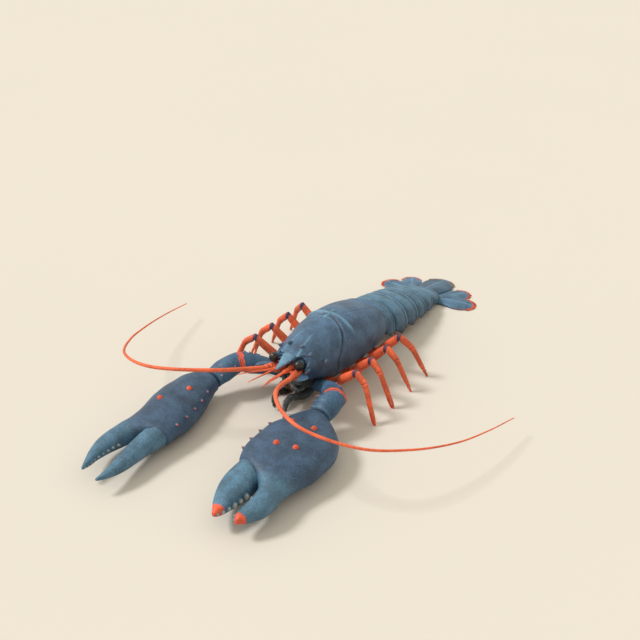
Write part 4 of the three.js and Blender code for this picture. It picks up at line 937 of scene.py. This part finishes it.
def tail_ring(y, share):
    scale = lerp(0.912, 1, rise(share, 0.14, 0.185)) - 0.012 * abs(share - 0.5)
    half_width = TAIL_HALF_WIDTH(y) * scale
    widest = TAIL_WIDEST(y)
    short_edge = widest - 4
    lobe_edge = lerp(short_edge, min(TAIL_LOBE_TIP(y), short_edge), TAIL_LOBE(share))

    def lift(x, drop):
        height = 1.1 * rise(share, 0.2, 0.5) - 0.5 * rise(share, 0.62, 0.88)
        height += 0.75 * rise(share, 0.885, 0.915) - 0.6 * bump(share - 0.215, 0.02)
        height += 0.5 * bump(drop - 0.9, 0.12) * bump(share - 0.6, 0.2)
        height += 0.12 * noise.noise(Vector((x, y, 30 * drop)) / 11)
        return height * rise(share, 0.18, 0.2)

    def tint(x, drop, point):
        rim = 0.6 * rise(share, 0.89, 0.92)
        # The front band is paler, and the top of each ring is painted lighter toward its middle as painted
        # light.
        pale = 0.1 * (1 - rise(share, 0.16, 0.2)) + 0.3 * bump(share - 0.55, 0.25) * (1 - drop)
        lobe = rise(widest - point.z, 1, 10) if drop == 1 else 0.0
        # Painted shade: darker in the groove and the step before the rim, down the lobes and toward the
        # sides.
        dark = 0.7 * bump(share - 0.2, 0.025) + 0.5 * bump(share - 0.885, 0.014)
        dark += 0.4 * lobe + 0.42 * rise(drop, 0.5, 1)
        red = 0.3 * rise(lobe, 0.6, 1) * rise(share, 0.5, 0.9)
        return red, min(rim * (1 - 0.6 * lobe) + pale, 1), min(dark, 1) * (1 - rim)

    return arch(
        y, TAIL_POINTS, half_width, widest + (TAIL_TOP(y) - widest) * scale, widest,
        half_width * TAIL_EDGE, lobe_edge, 1.1, half_width * TAIL_EDGE - 2.2,
        widest - 1.5 - 0.9 * bump(share - 0.5, 0.12), 0.0, lift, tint,
    )


tail_finish = shell_finish("tail_blue", TAIL_BLUE)
for index, (before, after) in enumerate(zip(TAIL_PARTINGS, TAIL_PARTINGS[1:])):
    number = index + 1
    first = before + TAIL_GAP / 2
    last = after - TAIL_GAP / 2
    rows = round((last - first) / TAIL_PITCH)
    rings = [drawn_in(tail_ring(first, 0), 0.985, back) for back in (-3, -1.5, -0.5)]
    rings += [tail_ring(lerp(first, last, i / rows), i / rows) for i in range(rows)]
    rings += [drawn_in(tail_ring(last, 1), share, -inward) for share, inward in TAIL_RIM]
    bm = blank()
    wrap(bm, rings)
    if index == LAST_RING:
        for side in SIDES.values():
            limb(bm, mirrored(side, FAN_STUB), 0.5, edge=0.7)
            thorns(bm, side, [FAN_SPINE], red=0)
    piece(f"tail_plate_{number}", bm, tail_finish, "tail_blue", f"tail_ring_{number}")
    if not 0 < index < LAST_RING:
        continue
    y = lerp(first, last, 0.45)
    root_z = TAIL_WIDEST(y) - 1.5
    length = min(SWIMMERET_LENGTH, root_z - 2.6)
    swim_bm = blank()
    hair_bm = blank()
    for side in SIDES.values():
        for x, lean in ((9.2, -1.6), (15.6, 2.2)):
            stops = mirrored(side, (
                (x, y - 1, root_z + 1.6, 2.2, 1.6), (x, y, root_z - length * 0.25, 2.6, 1.3),
                (x + lean * 0.5, y + 3, root_z - length * 0.65, 3, 1),
                (x + lean, y + 6, root_z - length, 1.2, 0.6),
            ))
            limb(swim_bm, stops, 0.5, 24, across=(1, 0, 0), edge=0.4, joints=(1,))
            path = Path(stops)
            for i in range(SWIMMERET_HAIRS):
                share = lerp(0.45, 1, i / (SWIMMERET_HAIRS - 1))
                width = 2.7 * sqrt(max(1 - ((share - 0.62) / 0.5) ** 2, 0))
                for outward in (-1, 1):
                    root = path.at(path.knots[-1] * share) + Vector((outward * width, 0, 0))
                    tip = root + Vector((outward * 0.7, 1.2, -0.9)).normalized() * draw.uniform(1.0, 1.7)
                    bristle(hair_bm, root, tip, 0.12)
    piece(f"swimmerets_{number}", swim_bm, orange_finish, "limb_orange", f"tail_ring_{number}")
    piece(f"swimmeret_hairs_{number}", hair_bm, brown_bristles, "limb_orange")


# Tail fan. Five leaves of shell spread behind the last ring, the middle one above the rest. Each
# has a keel, fine ribs and a fringe of hairs along its rear edge, which is red on the side leaves
# and brown on the middle one.
FAN_DIP = 0.3
FAN_BLUE = (75, 111, 143)
MIDDLE_LEAF_DARKNESS = 0.3
LEAF_ROUND_FROM = 0.62
LEAF_ROWS = 96
LEAF_POINTS = 120
LEAVES = {
    "middle": dict(root=(0, 199.15, 3.2), angle=0, length=50.8, half=17.5, root_half=12.5, thick=7.6, tip=2),
    "inner": dict(root=(15, 199, 1.4), angle=31, length=42, half=12.2, root_half=6, thick=4.4, tip=2),
    "outer": dict(root=(17.5, 197, 1.2), angle=70, length=41, half=13, root_half=6, thick=4.4, tip=2.2,
                  seam=0.8),
}
fan_finish = shell_finish("fan_blue", FAN_BLUE)


def leaf(name, side, node, root, angle, length, half, root_half, thick, tip, seam=None):
    """A leaf of the fan and its fringe. `seam` is where an outer leaf is jointed across."""
    x, y, z = root
    place = Matrix.Translation((side * x, y, z)) @ Matrix.Rotation(-side * radians(angle), 4, "Z")
    place = place @ Matrix.Rotation(-atan2(z + FAN_DIP, length), 4, "X")
    middle = name == "middle"

    def width(share):
        past = (share - LEAF_ROUND_FROM) / 0.386
        rounded = 1 if share < LEAF_ROUND_FROM else sqrt(max(1 - past ** 2, 0))
        return lerp(root_half, half, rise(share, 0, 0.6)) * rounded

    rings = []
    for i in range(LEAF_ROWS):
        share = sin(pi / 2 * i / (LEAF_ROWS - 1))
        wide = width(share)
        end = rise(share, 0.93, 1.0)
        ring = []
        for turn in turns(LEAF_POINTS):
            across = cos(turn)
            q = abs(across)
            top = lerp(thick, tip, share) * (1 - 0.5 * q ** 4)
            top += (1 - share) * (0.9 * bump(across, 0.1) + 0.35 * bump(q - 0.36, 0.05))
            top += 0.1 * cos(across * 60) * rise(share, 0.35, 0.8)
            if seam:
                past = share - seam
                top -= 0.7 * bump(past - 0.05 * (1 - q * q), 0.012) + 0.5 * rise(past, 0, 0.04)
            low = 0.35 * (1 - rise(q, 0.85, 1)) * (1 - rise(share, 0.8, 0.95))
            point = place @ Vector((
                across * wide, share * length, lerp(low, top, 0.5 + 0.5 * squared(sin(turn), 0.3)),
            ))
            point.z = max(point.z, 0.0)
            rim = bump(q - 1, 0.08) * rise(share, 0.4, 0.7)
            ring.append((point, (
                0.0 if middle else min(end * 0.95 + 0.3 * rim, 1),
                0.7 * bump(across, 0.09) * (1 - end),
                (MIDDLE_LEAF_DARKNESS if middle else 0) + 0.35 * bump(q - 0.62, 0.3) * (1 - share),
            )))
        rings.append(ring)
    bm = blank()
    wrap(bm, rings)
    piece(f"{name}_fan_leaf", bm, fan_finish, "light_blue", node)
    bm = blank()
    count = round(half * 11)
    for i in range(count):
        turn = lerp(-1.12, 1.12, (i + draw.uniform(-0.3, 0.3)) / (count - 1))
        share = min(0.62 + 0.38 * cos(turn), 0.999)
        outward = min(max(sin(turn) / 0.2, -1), 1)
        hair = Vector((width(share) * 0.985 * outward, share * length, 0.45 * lerp(thick, tip, share)))
        out = Vector((sin(turn) * 0.55, 1.0, 0)).normalized()
        ends = [place @ (hair - out * 0.6), place @ (hair + out * draw.uniform(2.4, 3.4))]
        for end in ends:
            end.z = max(end.z, 0.25 + draw.uniform(0, 0.5))
        bristle(bm, *ends, 0.17)
    piece(f"{name}_fan_fringe", bm, brown_bristles if middle else red_bristles, "limb_orange")


leaf("middle", 1, "telson", **LEAVES["middle"])
for tag, side in SIDES.items():
    for row in ("inner", "outer"):
        leaf(f"{tag}_{row}", side, f"uropod_{row}_{tag}", **LEAVES[row])


# Walking legs. Four jointed legs a side, orange-red with a blue band at the knee. The two front
# pairs end in small pincers and the two rear pairs in single claws.
LEG_ROOT_X = 14
LEG_ROOT_Z = 14.4
LEG_KNEE = ((57, -37, 42.5), (57, -10.8, 42.5), (57, 15.8, 42.5), (57, 40.5, 42.5))
LEG_ANKLE = ((68, -39.4, 34.4), (68, -13.2, 33), (68, 16.5, 32), (68, 46, 31))
LEG_FOOT = ((82, -44.9, 0), (82, -12.3, 0), (82, 21.5, 0), (82, 53.9, 0))
THIGH = ((0, 3.9, 3.6), (0.22, 3.7, 4.3), (0.6, 3.4, 4.1), (0.9, 3.1, 3.7), (1, 3.1, 3.8))
PINCER_SHIN = ((0.1, 2.4, 2.6), (0.42, 2.3, 2.8), (0.6, 2.0, 2.7), (0.67, 1.7, 2.2))
CLAW_SHIN = ((0.1, 2.4, 2.6), (0.42, 2.3, 2.4), (0.66, 1.8, 2), (0.72, 1.55, 1.6), (0.88, 1.25), (1, 0.85))
PINCER_FINGER = ((0.58, 1.1, 1.7, 1.3), (0.75, 1.7, 1.4, 1.15), (0.9, 1.45, 1.1, 0.95), (1, 0.75, 0.7, 0.55))
KNEE_BAND = 3.0
LEG_HAIRS = 60


def leg(name, side, node, root_y, knee, ankle, foot, pincer):
    """One leg as two pieces that meet at the knee, and the hairs round its foot."""
    ends = ((LEG_ROOT_X, root_y, LEG_ROOT_Z), knee, ankle, foot)
    root, knee, ankle, foot = (on_side(side, point) for point in ends)
    out = SHELL_EDGE_X(root_y) - BREAST_INSET
    coxa = on_side(side, (out + 6, lerp(root.y, knee.y, 0.12), LEG_ROOT_Z + 0.5))
    hip = on_side(side, (out + 12.5, lerp(root.y, knee.y, 0.28), LEG_ROOT_Z + 4.2))
    before = (knee - on_side(side, (25, root_y, LEG_ROOT_Z))).normalized()
    facing = (before + (ankle - knee).normalized()).normalized()
    stops = [(*root, 4.3, 4.0), (*coxa, 4.3, 3.9)]
    stops += line_stops(hip, knee, *THIGH)
    band = Path(stops).length - KNEE_BAND
    bm = blank()
    limb(bm, stops, 0.6, end=facing, across=(knee - root).cross(UP), joints=(1, 2),
         tint=lambda place, angle: (0.0, 0.0, rise(place, band - 0.3, band + 0.3)))
    piece(f"{name}_thigh", bm, orange_finish, "limb_orange", f"{node}_upper")

    sideways = (foot - knee).cross(UP).normalized()
    down = (foot - ankle).normalized()
    outward = sideways.cross(down).normalized()
    toe = foot + down * 0.4
    stops = [(*(knee + facing * 0.2), 2.9, 3.5), *line_stops(knee, ankle, (0.3, 2.9, 3.4), (0.9, 2.7, 3.0))]
    stops += line_stops(ankle, toe, *(PINCER_SHIN if pincer else CLAW_SHIN))
    bm = blank()
    limb(bm, stops, 0.6, start=facing, across=sideways, edge=0.5, joints=(2,) if pincer else (2, 5),
         tint=lambda place, angle: (0.5 * rise(place, 44, 52), 0.0, 1 - rise(place, 1.0, 1.6)))
    for turn in (-1, 1) if pincer else ():
        finger = [
            (*(ankle.lerp(toe, share) + outward * (turn * shift)), *sizes)
            for share, shift, *sizes in PINCER_FINGER
        ]
        limb(bm, finger, 0.5, 20, across=sideways, edge=0.4,
             tint=lambda place, angle: (0.5 * rise(place, 3, 10), 0.0, 0.0))
    piece(f"{name}_shin", bm, orange_finish, "limb_orange", f"{node}_lower")

    bm = blank()
    for i in range(LEG_HAIRS):
        share = draw.uniform(0.5, 0.93)
        angle = draw.uniform(0, 2 * pi)
        spot = sideways * cos(angle) + outward * sin(angle)
        root = ankle.lerp(toe, share) + spot * lerp(2.0, 1.3, (share - 0.5) * 2)
        bristle(bm, root, root + (spot * 0.5 + down).normalized() * draw.uniform(1.0, 2.0), 0.1)
    piece(f"{name}_hairs", bm, brown_bristles, "limb_orange")


for tag, side in SIDES.items():
    for i, places in enumerate(zip(LEG_ROOT_Y, LEG_KNEE, LEG_ANKLE, LEG_FOOT)):
        leg(f"{tag}_leg_{i + 1}", side, f"leg_{tag}_{i + 1}", *places, pincer=i < 2)


# Arms. Each claw hangs on three stout segments, spined along the upper edge. Red skin shows where
# they bend at the elbow, and a dark seam runs round the wrist.
ARM_ROOT = (15, -37, 14.6)
ARM_SHOULDER = (32, -45.5, 22.5)
ARM_ELBOW = (53.7, -65.5, 30.5)
ARM_REACH = 29.9
RED_BAND = 3.4
WRIST_SEAM = 3.4
ARMS = {"crusher": (1, (50.5, -88, 20)), "cutter": (-1, (66.5, -93, 19))}


def ragged(angle, reach):
    """Wavers a little round a limb, so that a painted edge isn't a ruled line."""
    return reach * noise.noise(Vector((cos(angle) * 2.2, sin(angle) * 2.2, reach)))


for name, (side, wrist) in ARMS.items():
    ends = (ARM_ROOT, ARM_SHOULDER, ARM_ELBOW, wrist)
    root, shoulder, elbow, wrist = (on_side(side, point) for point in ends)
    facing = (elbow - shoulder).normalized()
    bend = (facing + (wrist - elbow).normalized()).normalized()
    bm = blank()
    stops = line_stops(root, shoulder, (0, 7, 6), (0.35, 6.6, 5.6), (0.7, 7, 6.2), (1, 7.9, 6.9))
    limb(bm, stops, 0.6, 56, end=facing, edge=0.8, joints=(1,))
    piece(f"{name}_shoulder", bm, arm_finish, "arm_blue", f"{name}_arm_root")

    bm = blank()
    sizes = ((0, 7.6, 6.8), (0.2, 8.6, 8), (0.5, 9.6, 9), (0.72, 10, 9.8))
    stops = [(*(shoulder + facing * (share * ARM_REACH)), *size) for share, *size in sizes]
    stops.append((*elbow, 10.7, 10))
    band = Path(stops).length - RED_BAND

    def elbow_paint(place, angle):
        edge = band + ragged(angle, 1.2)
        return rise(place, edge - 0.4, edge), 0.0, 0.4 * bump(place - band + 1, 0.8)

    limb(bm, stops, 0.6, 64, start=facing, end=bend, edge=0.8, tint=elbow_paint,
         swell=lambda place, angle: -0.7 * bump(place - band - RED_BAND * 0.45, 1.3))
    front = facing.cross(Vector((0, 0, side))).normalized()
    for i, share in enumerate((0.42, 0.62, 0.78)):
        at = shoulder.lerp(elbow, share) + front * -5 + Vector((0, 0, 7.2))
        thorn(bm, at, facing * 0.7 + front * -0.5 + UP, 2.6 + 0.6 * i, 1.8)
    piece(f"{name}_arm", bm, arm_finish, "arm_blue", f"{name}_upper_arm")

    bm = blank()
    stops = [(*(elbow + bend * 0.15), 10, 9.4)]
    for share, *size in ((0.3, 11, 10.2), (0.55, 11.6, 10.2), (0.74, 11, 9), (1, 9, 8)):
        stops.append((*(elbow.lerp(wrist, share) + UP * (1.6 * sin(pi * share))), *size))
    seam = Path(stops).length - WRIST_SEAM

    def wrist_paint(place, angle):
        red = 1 - rise(place - ragged(angle, 1.1), 1.2, 1.7)
        return red, 0.3 * bump(place - seam, 1.2), 0.85 * rise(place - seam, 1.0, 1.8)

    limb(bm, stops, 0.6, 64, start=bend, end=Vector((0, -1, 0)), edge=0.9, tint=wrist_paint,
         swell=lambda place, angle: 0.5 * bump(place - seam, 1.1) - 0.9 * rise(place - seam, 1.2, 2.2))
    for i, share in enumerate((0.4, 0.62, 0.84)):
        at = elbow.lerp(wrist, share) + Vector((-side * 8.6, 0, 4.8 + 1.6 * sin(pi * share)))
        thorn(bm, at, Vector((-side, -0.8, 0.6)), 4.4 - 0.5 * i, 2.1)
    piece(f"{name}_carpus", bm, arm_finish, "arm_blue", f"{name}_wrist")


# Claws. The crusher on the left is heavy, with blunt molars, and the cutter on the right slender,
# with sharp teeth. The hand and its fixed finger are one shell, and the thumb is hinged inside.
HAND_BLUE = (57, 81, 109)
FINGER_BLUE = (75, 111, 138)
FINGER_PALE = (98, 134, 158)
TOOTH_BLUE = (112, 132, 144)
TOOTH_BONE = (176, 176, 166)
HAND_PITCH = 0.62
HAND_POINTS = 144
TIP_ROUNDING = 1.2
EDGE_SPINES = 5
DOME_SIZES = ((-0.6, 1.3), (0, 1.1), (0.35, 0.92), (0.7, 0.68), (0.93, 0.36), (1, 0.08))
hand_finish = shell_finish("hand_blue", HAND_BLUE, light=FINGER_BLUE)
thumb_finish = shell_finish("thumb_blue", FINGER_BLUE, light=FINGER_PALE)
bone_finish = shell_finish("tooth_enamel", TOOTH_BLUE, dark=FINGER_BLUE, light=TOOTH_BONE)


def dome(bm, at, direction, radius, height, paint):
    """A rounded tooth or knob along a direction of length 1, painted by its share of the height."""
    stops = round_stops(at, direction * height, radius, DOME_SIZES)
    limb(bm, stops, height / 8, 22, edge=0.05, tint=lambda place, angle: paint(place / height - 0.6))


def claw(name, middle, outer, inner, high, length, hinge, finger, fixed,
         teeth, tooth_radius, tooth_height, blunt, red_tips, knobs):
    """The hand, thumb and teeth of one claw. Offsets run outward from its wrist, and reach ahead."""
    side, (wrist_x, wrist_y, wrist_z) = ARMS[name]
    (inner_x, inner_reach), (outer_x, outer_reach) = hinge

    def claw_point(offset, reach, height):
        return Vector((side * (wrist_x + offset), wrist_y - reach, height))

    def middle_at(reach):
        return lerp(wrist_z, middle, rise(reach, 0, 30))

    def on_top(offset, reach, above=0.0):
        """A point of the hand's upper surface, or one above it."""
        share = (offset - (outer(reach) + inner(reach)) / 2) / ((outer(reach) - inner(reach)) / 2)
        height = middle_at(reach) + high(reach) * sqrt(max(1 - abs(share) ** 2.2, 0))
        return claw_point(offset, reach, height + above)

    bm = blank()
    rings = []
    reach = 0.0
    while reach < length:
        to_tip = length - reach
        size = 1 if to_tip > TIP_ROUNDING else sqrt(max(1 - (1 - to_tip / TIP_ROUNDING) ** 2, 0.02))
        if reach < 6:
            size = 1 - 0.09 * (1 - rise(reach, 0.4, 1.6)) + 0.035 * bump(reach - 2.6, 1.0)
        at_hinge = rise(reach - inner_reach, -8, 1) * (1 - rise(reach - outer_reach, 0, 6))
        tip = rise(reach, length - 7.5, length - 6) if red_tips else 0
        ring = []
        for angle in turns(HAND_POINTS):
            blocky = at_hinge if cos(angle) < 0 else 0
            c = squared(cos(angle), lerp(0.9, 0.74, blocky))
            s = squared(sin(angle), lerp(0.9, 0.8, blocky))
            offset = (outer(reach) + inner(reach)) / 2 + c * ((outer(reach) - inner(reach)) / 2 * size)
            height = middle_at(reach) + s * high(reach) * size
            height += 0.4 * noise.noise(Vector((offset, reach, 0)) / 16) * s
            point = claw_point(offset, reach, max(height, 0.0))
            pale = rise(reach + 0.35 * (offset - 10), inner_reach + 4, outer_reach + 4)
            # Painted shade darkens the underside of the hand; the dark at the wrist end is the joint's own.
            dark = 0.35 * rise(-s, 0.1, 0.9) + 0.85 * (1 - rise(reach, 0.8, 1.7))
            ring.append((point, (tip, pale * (1 - tip), min(dark, 1) * (1 - tip))))
        rings.append(ring)
        reach += HAND_PITCH
    wrap(bm, rings)
    for knob in knobs:
        dome(bm, on_top(*knob), UP, 2.6, 2.5, lambda share: (rise(share, -0.05, 0.1), 0.0, 0.0))
    for i in range(EDGE_SPINES):
        reach = lerp(20, 72, i / (EDGE_SPINES - 1))
        thorn(bm, on_top(inner(reach) + 3, reach, -1), Vector((-side, -0.4, 0.7)), 3.6, 2.4)
    knuckle = on_top(lerp(inner_x, outer_x, 0.52), lerp(inner_reach, outer_reach, 0.52) - 3.2, -0.5)
    dome(bm, knuckle, UP, 3.6, 1.7, lambda share: (0.0, 0.8 * rise(share, 0, 0.6), 0.0))
    piece(f"{name}_hand", bm, hand_finish, "shell_blue", f"{name}_palm")

    bm = blank()
    slant = Vector((outer_x - inner_x, outer_reach - inner_reach)).normalized()
    hinge_facing = Vector((-side * slant.y, -slant.x, 0))
    stops = [(*claw_point(*spot, middle), wide, tall) for *spot, wide, tall in finger]
    thumb_root = Vector(stops[0][:3]) - hinge_facing * 3
    stops.insert(0, (*thumb_root, stops[0][3] * 0.93, stops[0][4] * 0.93))
    thumb_length = Path(stops).length

    def thumb_paint(place, angle):
        red = rise(place, thumb_length - 8, thumb_length - 6.5) if red_tips else 0.0
        # Painted shade: the underside of the thumb is darker.
        return red, 0.0, 0.35 * rise(-sin(angle), 0.2, 1)

    limb(bm, stops, 0.6, 96, start=hinge_facing, square=0.86, edge=1.2, tint=thumb_paint)
    piece(f"{name}_thumb", bm, thumb_finish, "light_blue", f"{name}_finger")

    bm = blank()
    for row, bite, first in ((fixed, -1, 0.4), (finger, 1, 0.34)):
        places = Path([claw_point(stop[0], stop[1], middle) for stop in row])
        width = places.sizes([stop[2] for stop in row])
        inward = Vector((side * bite, 0, 0))
        for i in range(teeth):
            share = i / (teeth - 1)
            place = lerp(first, 0.93, share) * (len(row) - 1)
            knot = between(range(len(row)), places.knots, place)
            size = lerp(1, 0.5, share) * (0.86 if i % 2 else 1)
            radius, height = tooth_radius * size, tooth_height * size
            at = places.at(knot) + inward * (width(knot) - 0.6)
            if blunt:
                dome(bm, at, inward, radius * 0.86, height * 0.85,
                     lambda share: (0.0, 0.85 * rise(share, 0.35, 0.9), 1 - rise(share, 0.05, 0.4)))
            else:
                thorn(bm, at, inward, height, radius, red=0, light=1.0, tip=0.15)
    piece(f"{name}_teeth", bm, bone_finish, "light_blue")


claw(
    "crusher", middle=17,
    outer=profile((0, 10), (9, 23.5), (22, 36), (40, 41.5), (62, 41), (80, 36.4), (97, 33.6),
                  (108, 35.2), (118, 34.8), (127, 31.4), (134.5, 27), (140.5, 22.6)),
    inner=profile((0, -10.5), (15, -20.5), (37, -28.6), (62, -28), (81.5, -21.4), (99.5, 12),
                  (108, 15.6), (118, 17.2), (127, 17), (134.5, 17.6), (140.5, 20.8)),
    high=profile((0, 9), (17, 14), (40, 17.4), (62, 17.2), (82, 14), (97, 10.3), (108, 9.2),
                 (118, 8.2), (127, 6.8), (134.5, 4.8), (140.5, 1.6)),
    length=140.5, hinge=((-21, 82), (12.5, 99)),
    finger=((-4, 91.5, 14.6, 12), (-3.6, 103, 14, 11), (-2.4, 112, 12.8, 9.8), (-0.8, 121, 10.8, 8.4),
            (0.8, 129.5, 8, 6.6), (2.4, 137, 4.8, 4.6), (3, 143, 1.6, 1.8)),
    fixed=((22, 80, 13), (22.6, 97, 10.8), (25.4, 108, 9.8), (26, 118, 8.8), (24.2, 127, 7.2),
           (22.2, 134.5, 4.8), (21.6, 140, 1.6)),
    teeth=6, tooth_radius=3.4, tooth_height=3.4, blunt=True, red_tips=True,
    knobs=((2.3, 62.4), (18.4, 58.3), (15.3, 28.3), (-6.1, 29.6)),
)
claw(
    "cutter", middle=15.2,
    outer=profile((0, 10.5), (8, 21), (19, 26), (32, 27), (48, 26), (76, 20), (96, 20.4),
                  (109, 21), (122, 20), (135, 15.8), (146, 9.8), (154, 5.2)),
    inner=profile((0, -10.5), (15, -14.5), (38, -22), (62, -26.4), (83, -26.6), (97.5, -1.5),
                  (109, 2), (122, 4.6), (135, 5), (146, 3.8), (154, 3.6)),
    high=profile((0, 9), (17, 13), (42, 15.6), (62, 15.2), (82, 12), (96, 9.7), (109, 8.6),
                 (122, 7.2), (135, 5.4), (146, 3.4), (154, 0.9)),
    length=154, hinge=((-27, 84), (-2.5, 97)),
    finger=((-14.6, 91.5, 11, 10), (-14.4, 104, 9.2, 8.6), (-15.4, 117, 8, 7.4), (-17, 130, 6.6, 6.2),
            (-17.6, 141, 4.7, 4.7), (-16.6, 150, 2.7, 2.9), (-14.8, 157.5, 0.9, 1)),
    fixed=((9, 76, 11), (10, 96, 10.6), (11.6, 109, 9.6), (12.4, 122, 7.8), (10.4, 135, 5.4),
           (6.8, 146, 3), (4.4, 153.5, 0.9)),
    teeth=9, tooth_radius=1.7, tooth_height=3, blunt=False, red_tips=False,
    knobs=((-3.9, 32.7), (7.4, 58)),
)


low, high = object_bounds()
sizes = {"solids": [list(corner) for corner in solid_box], "scene": [list(low), list(high)]}
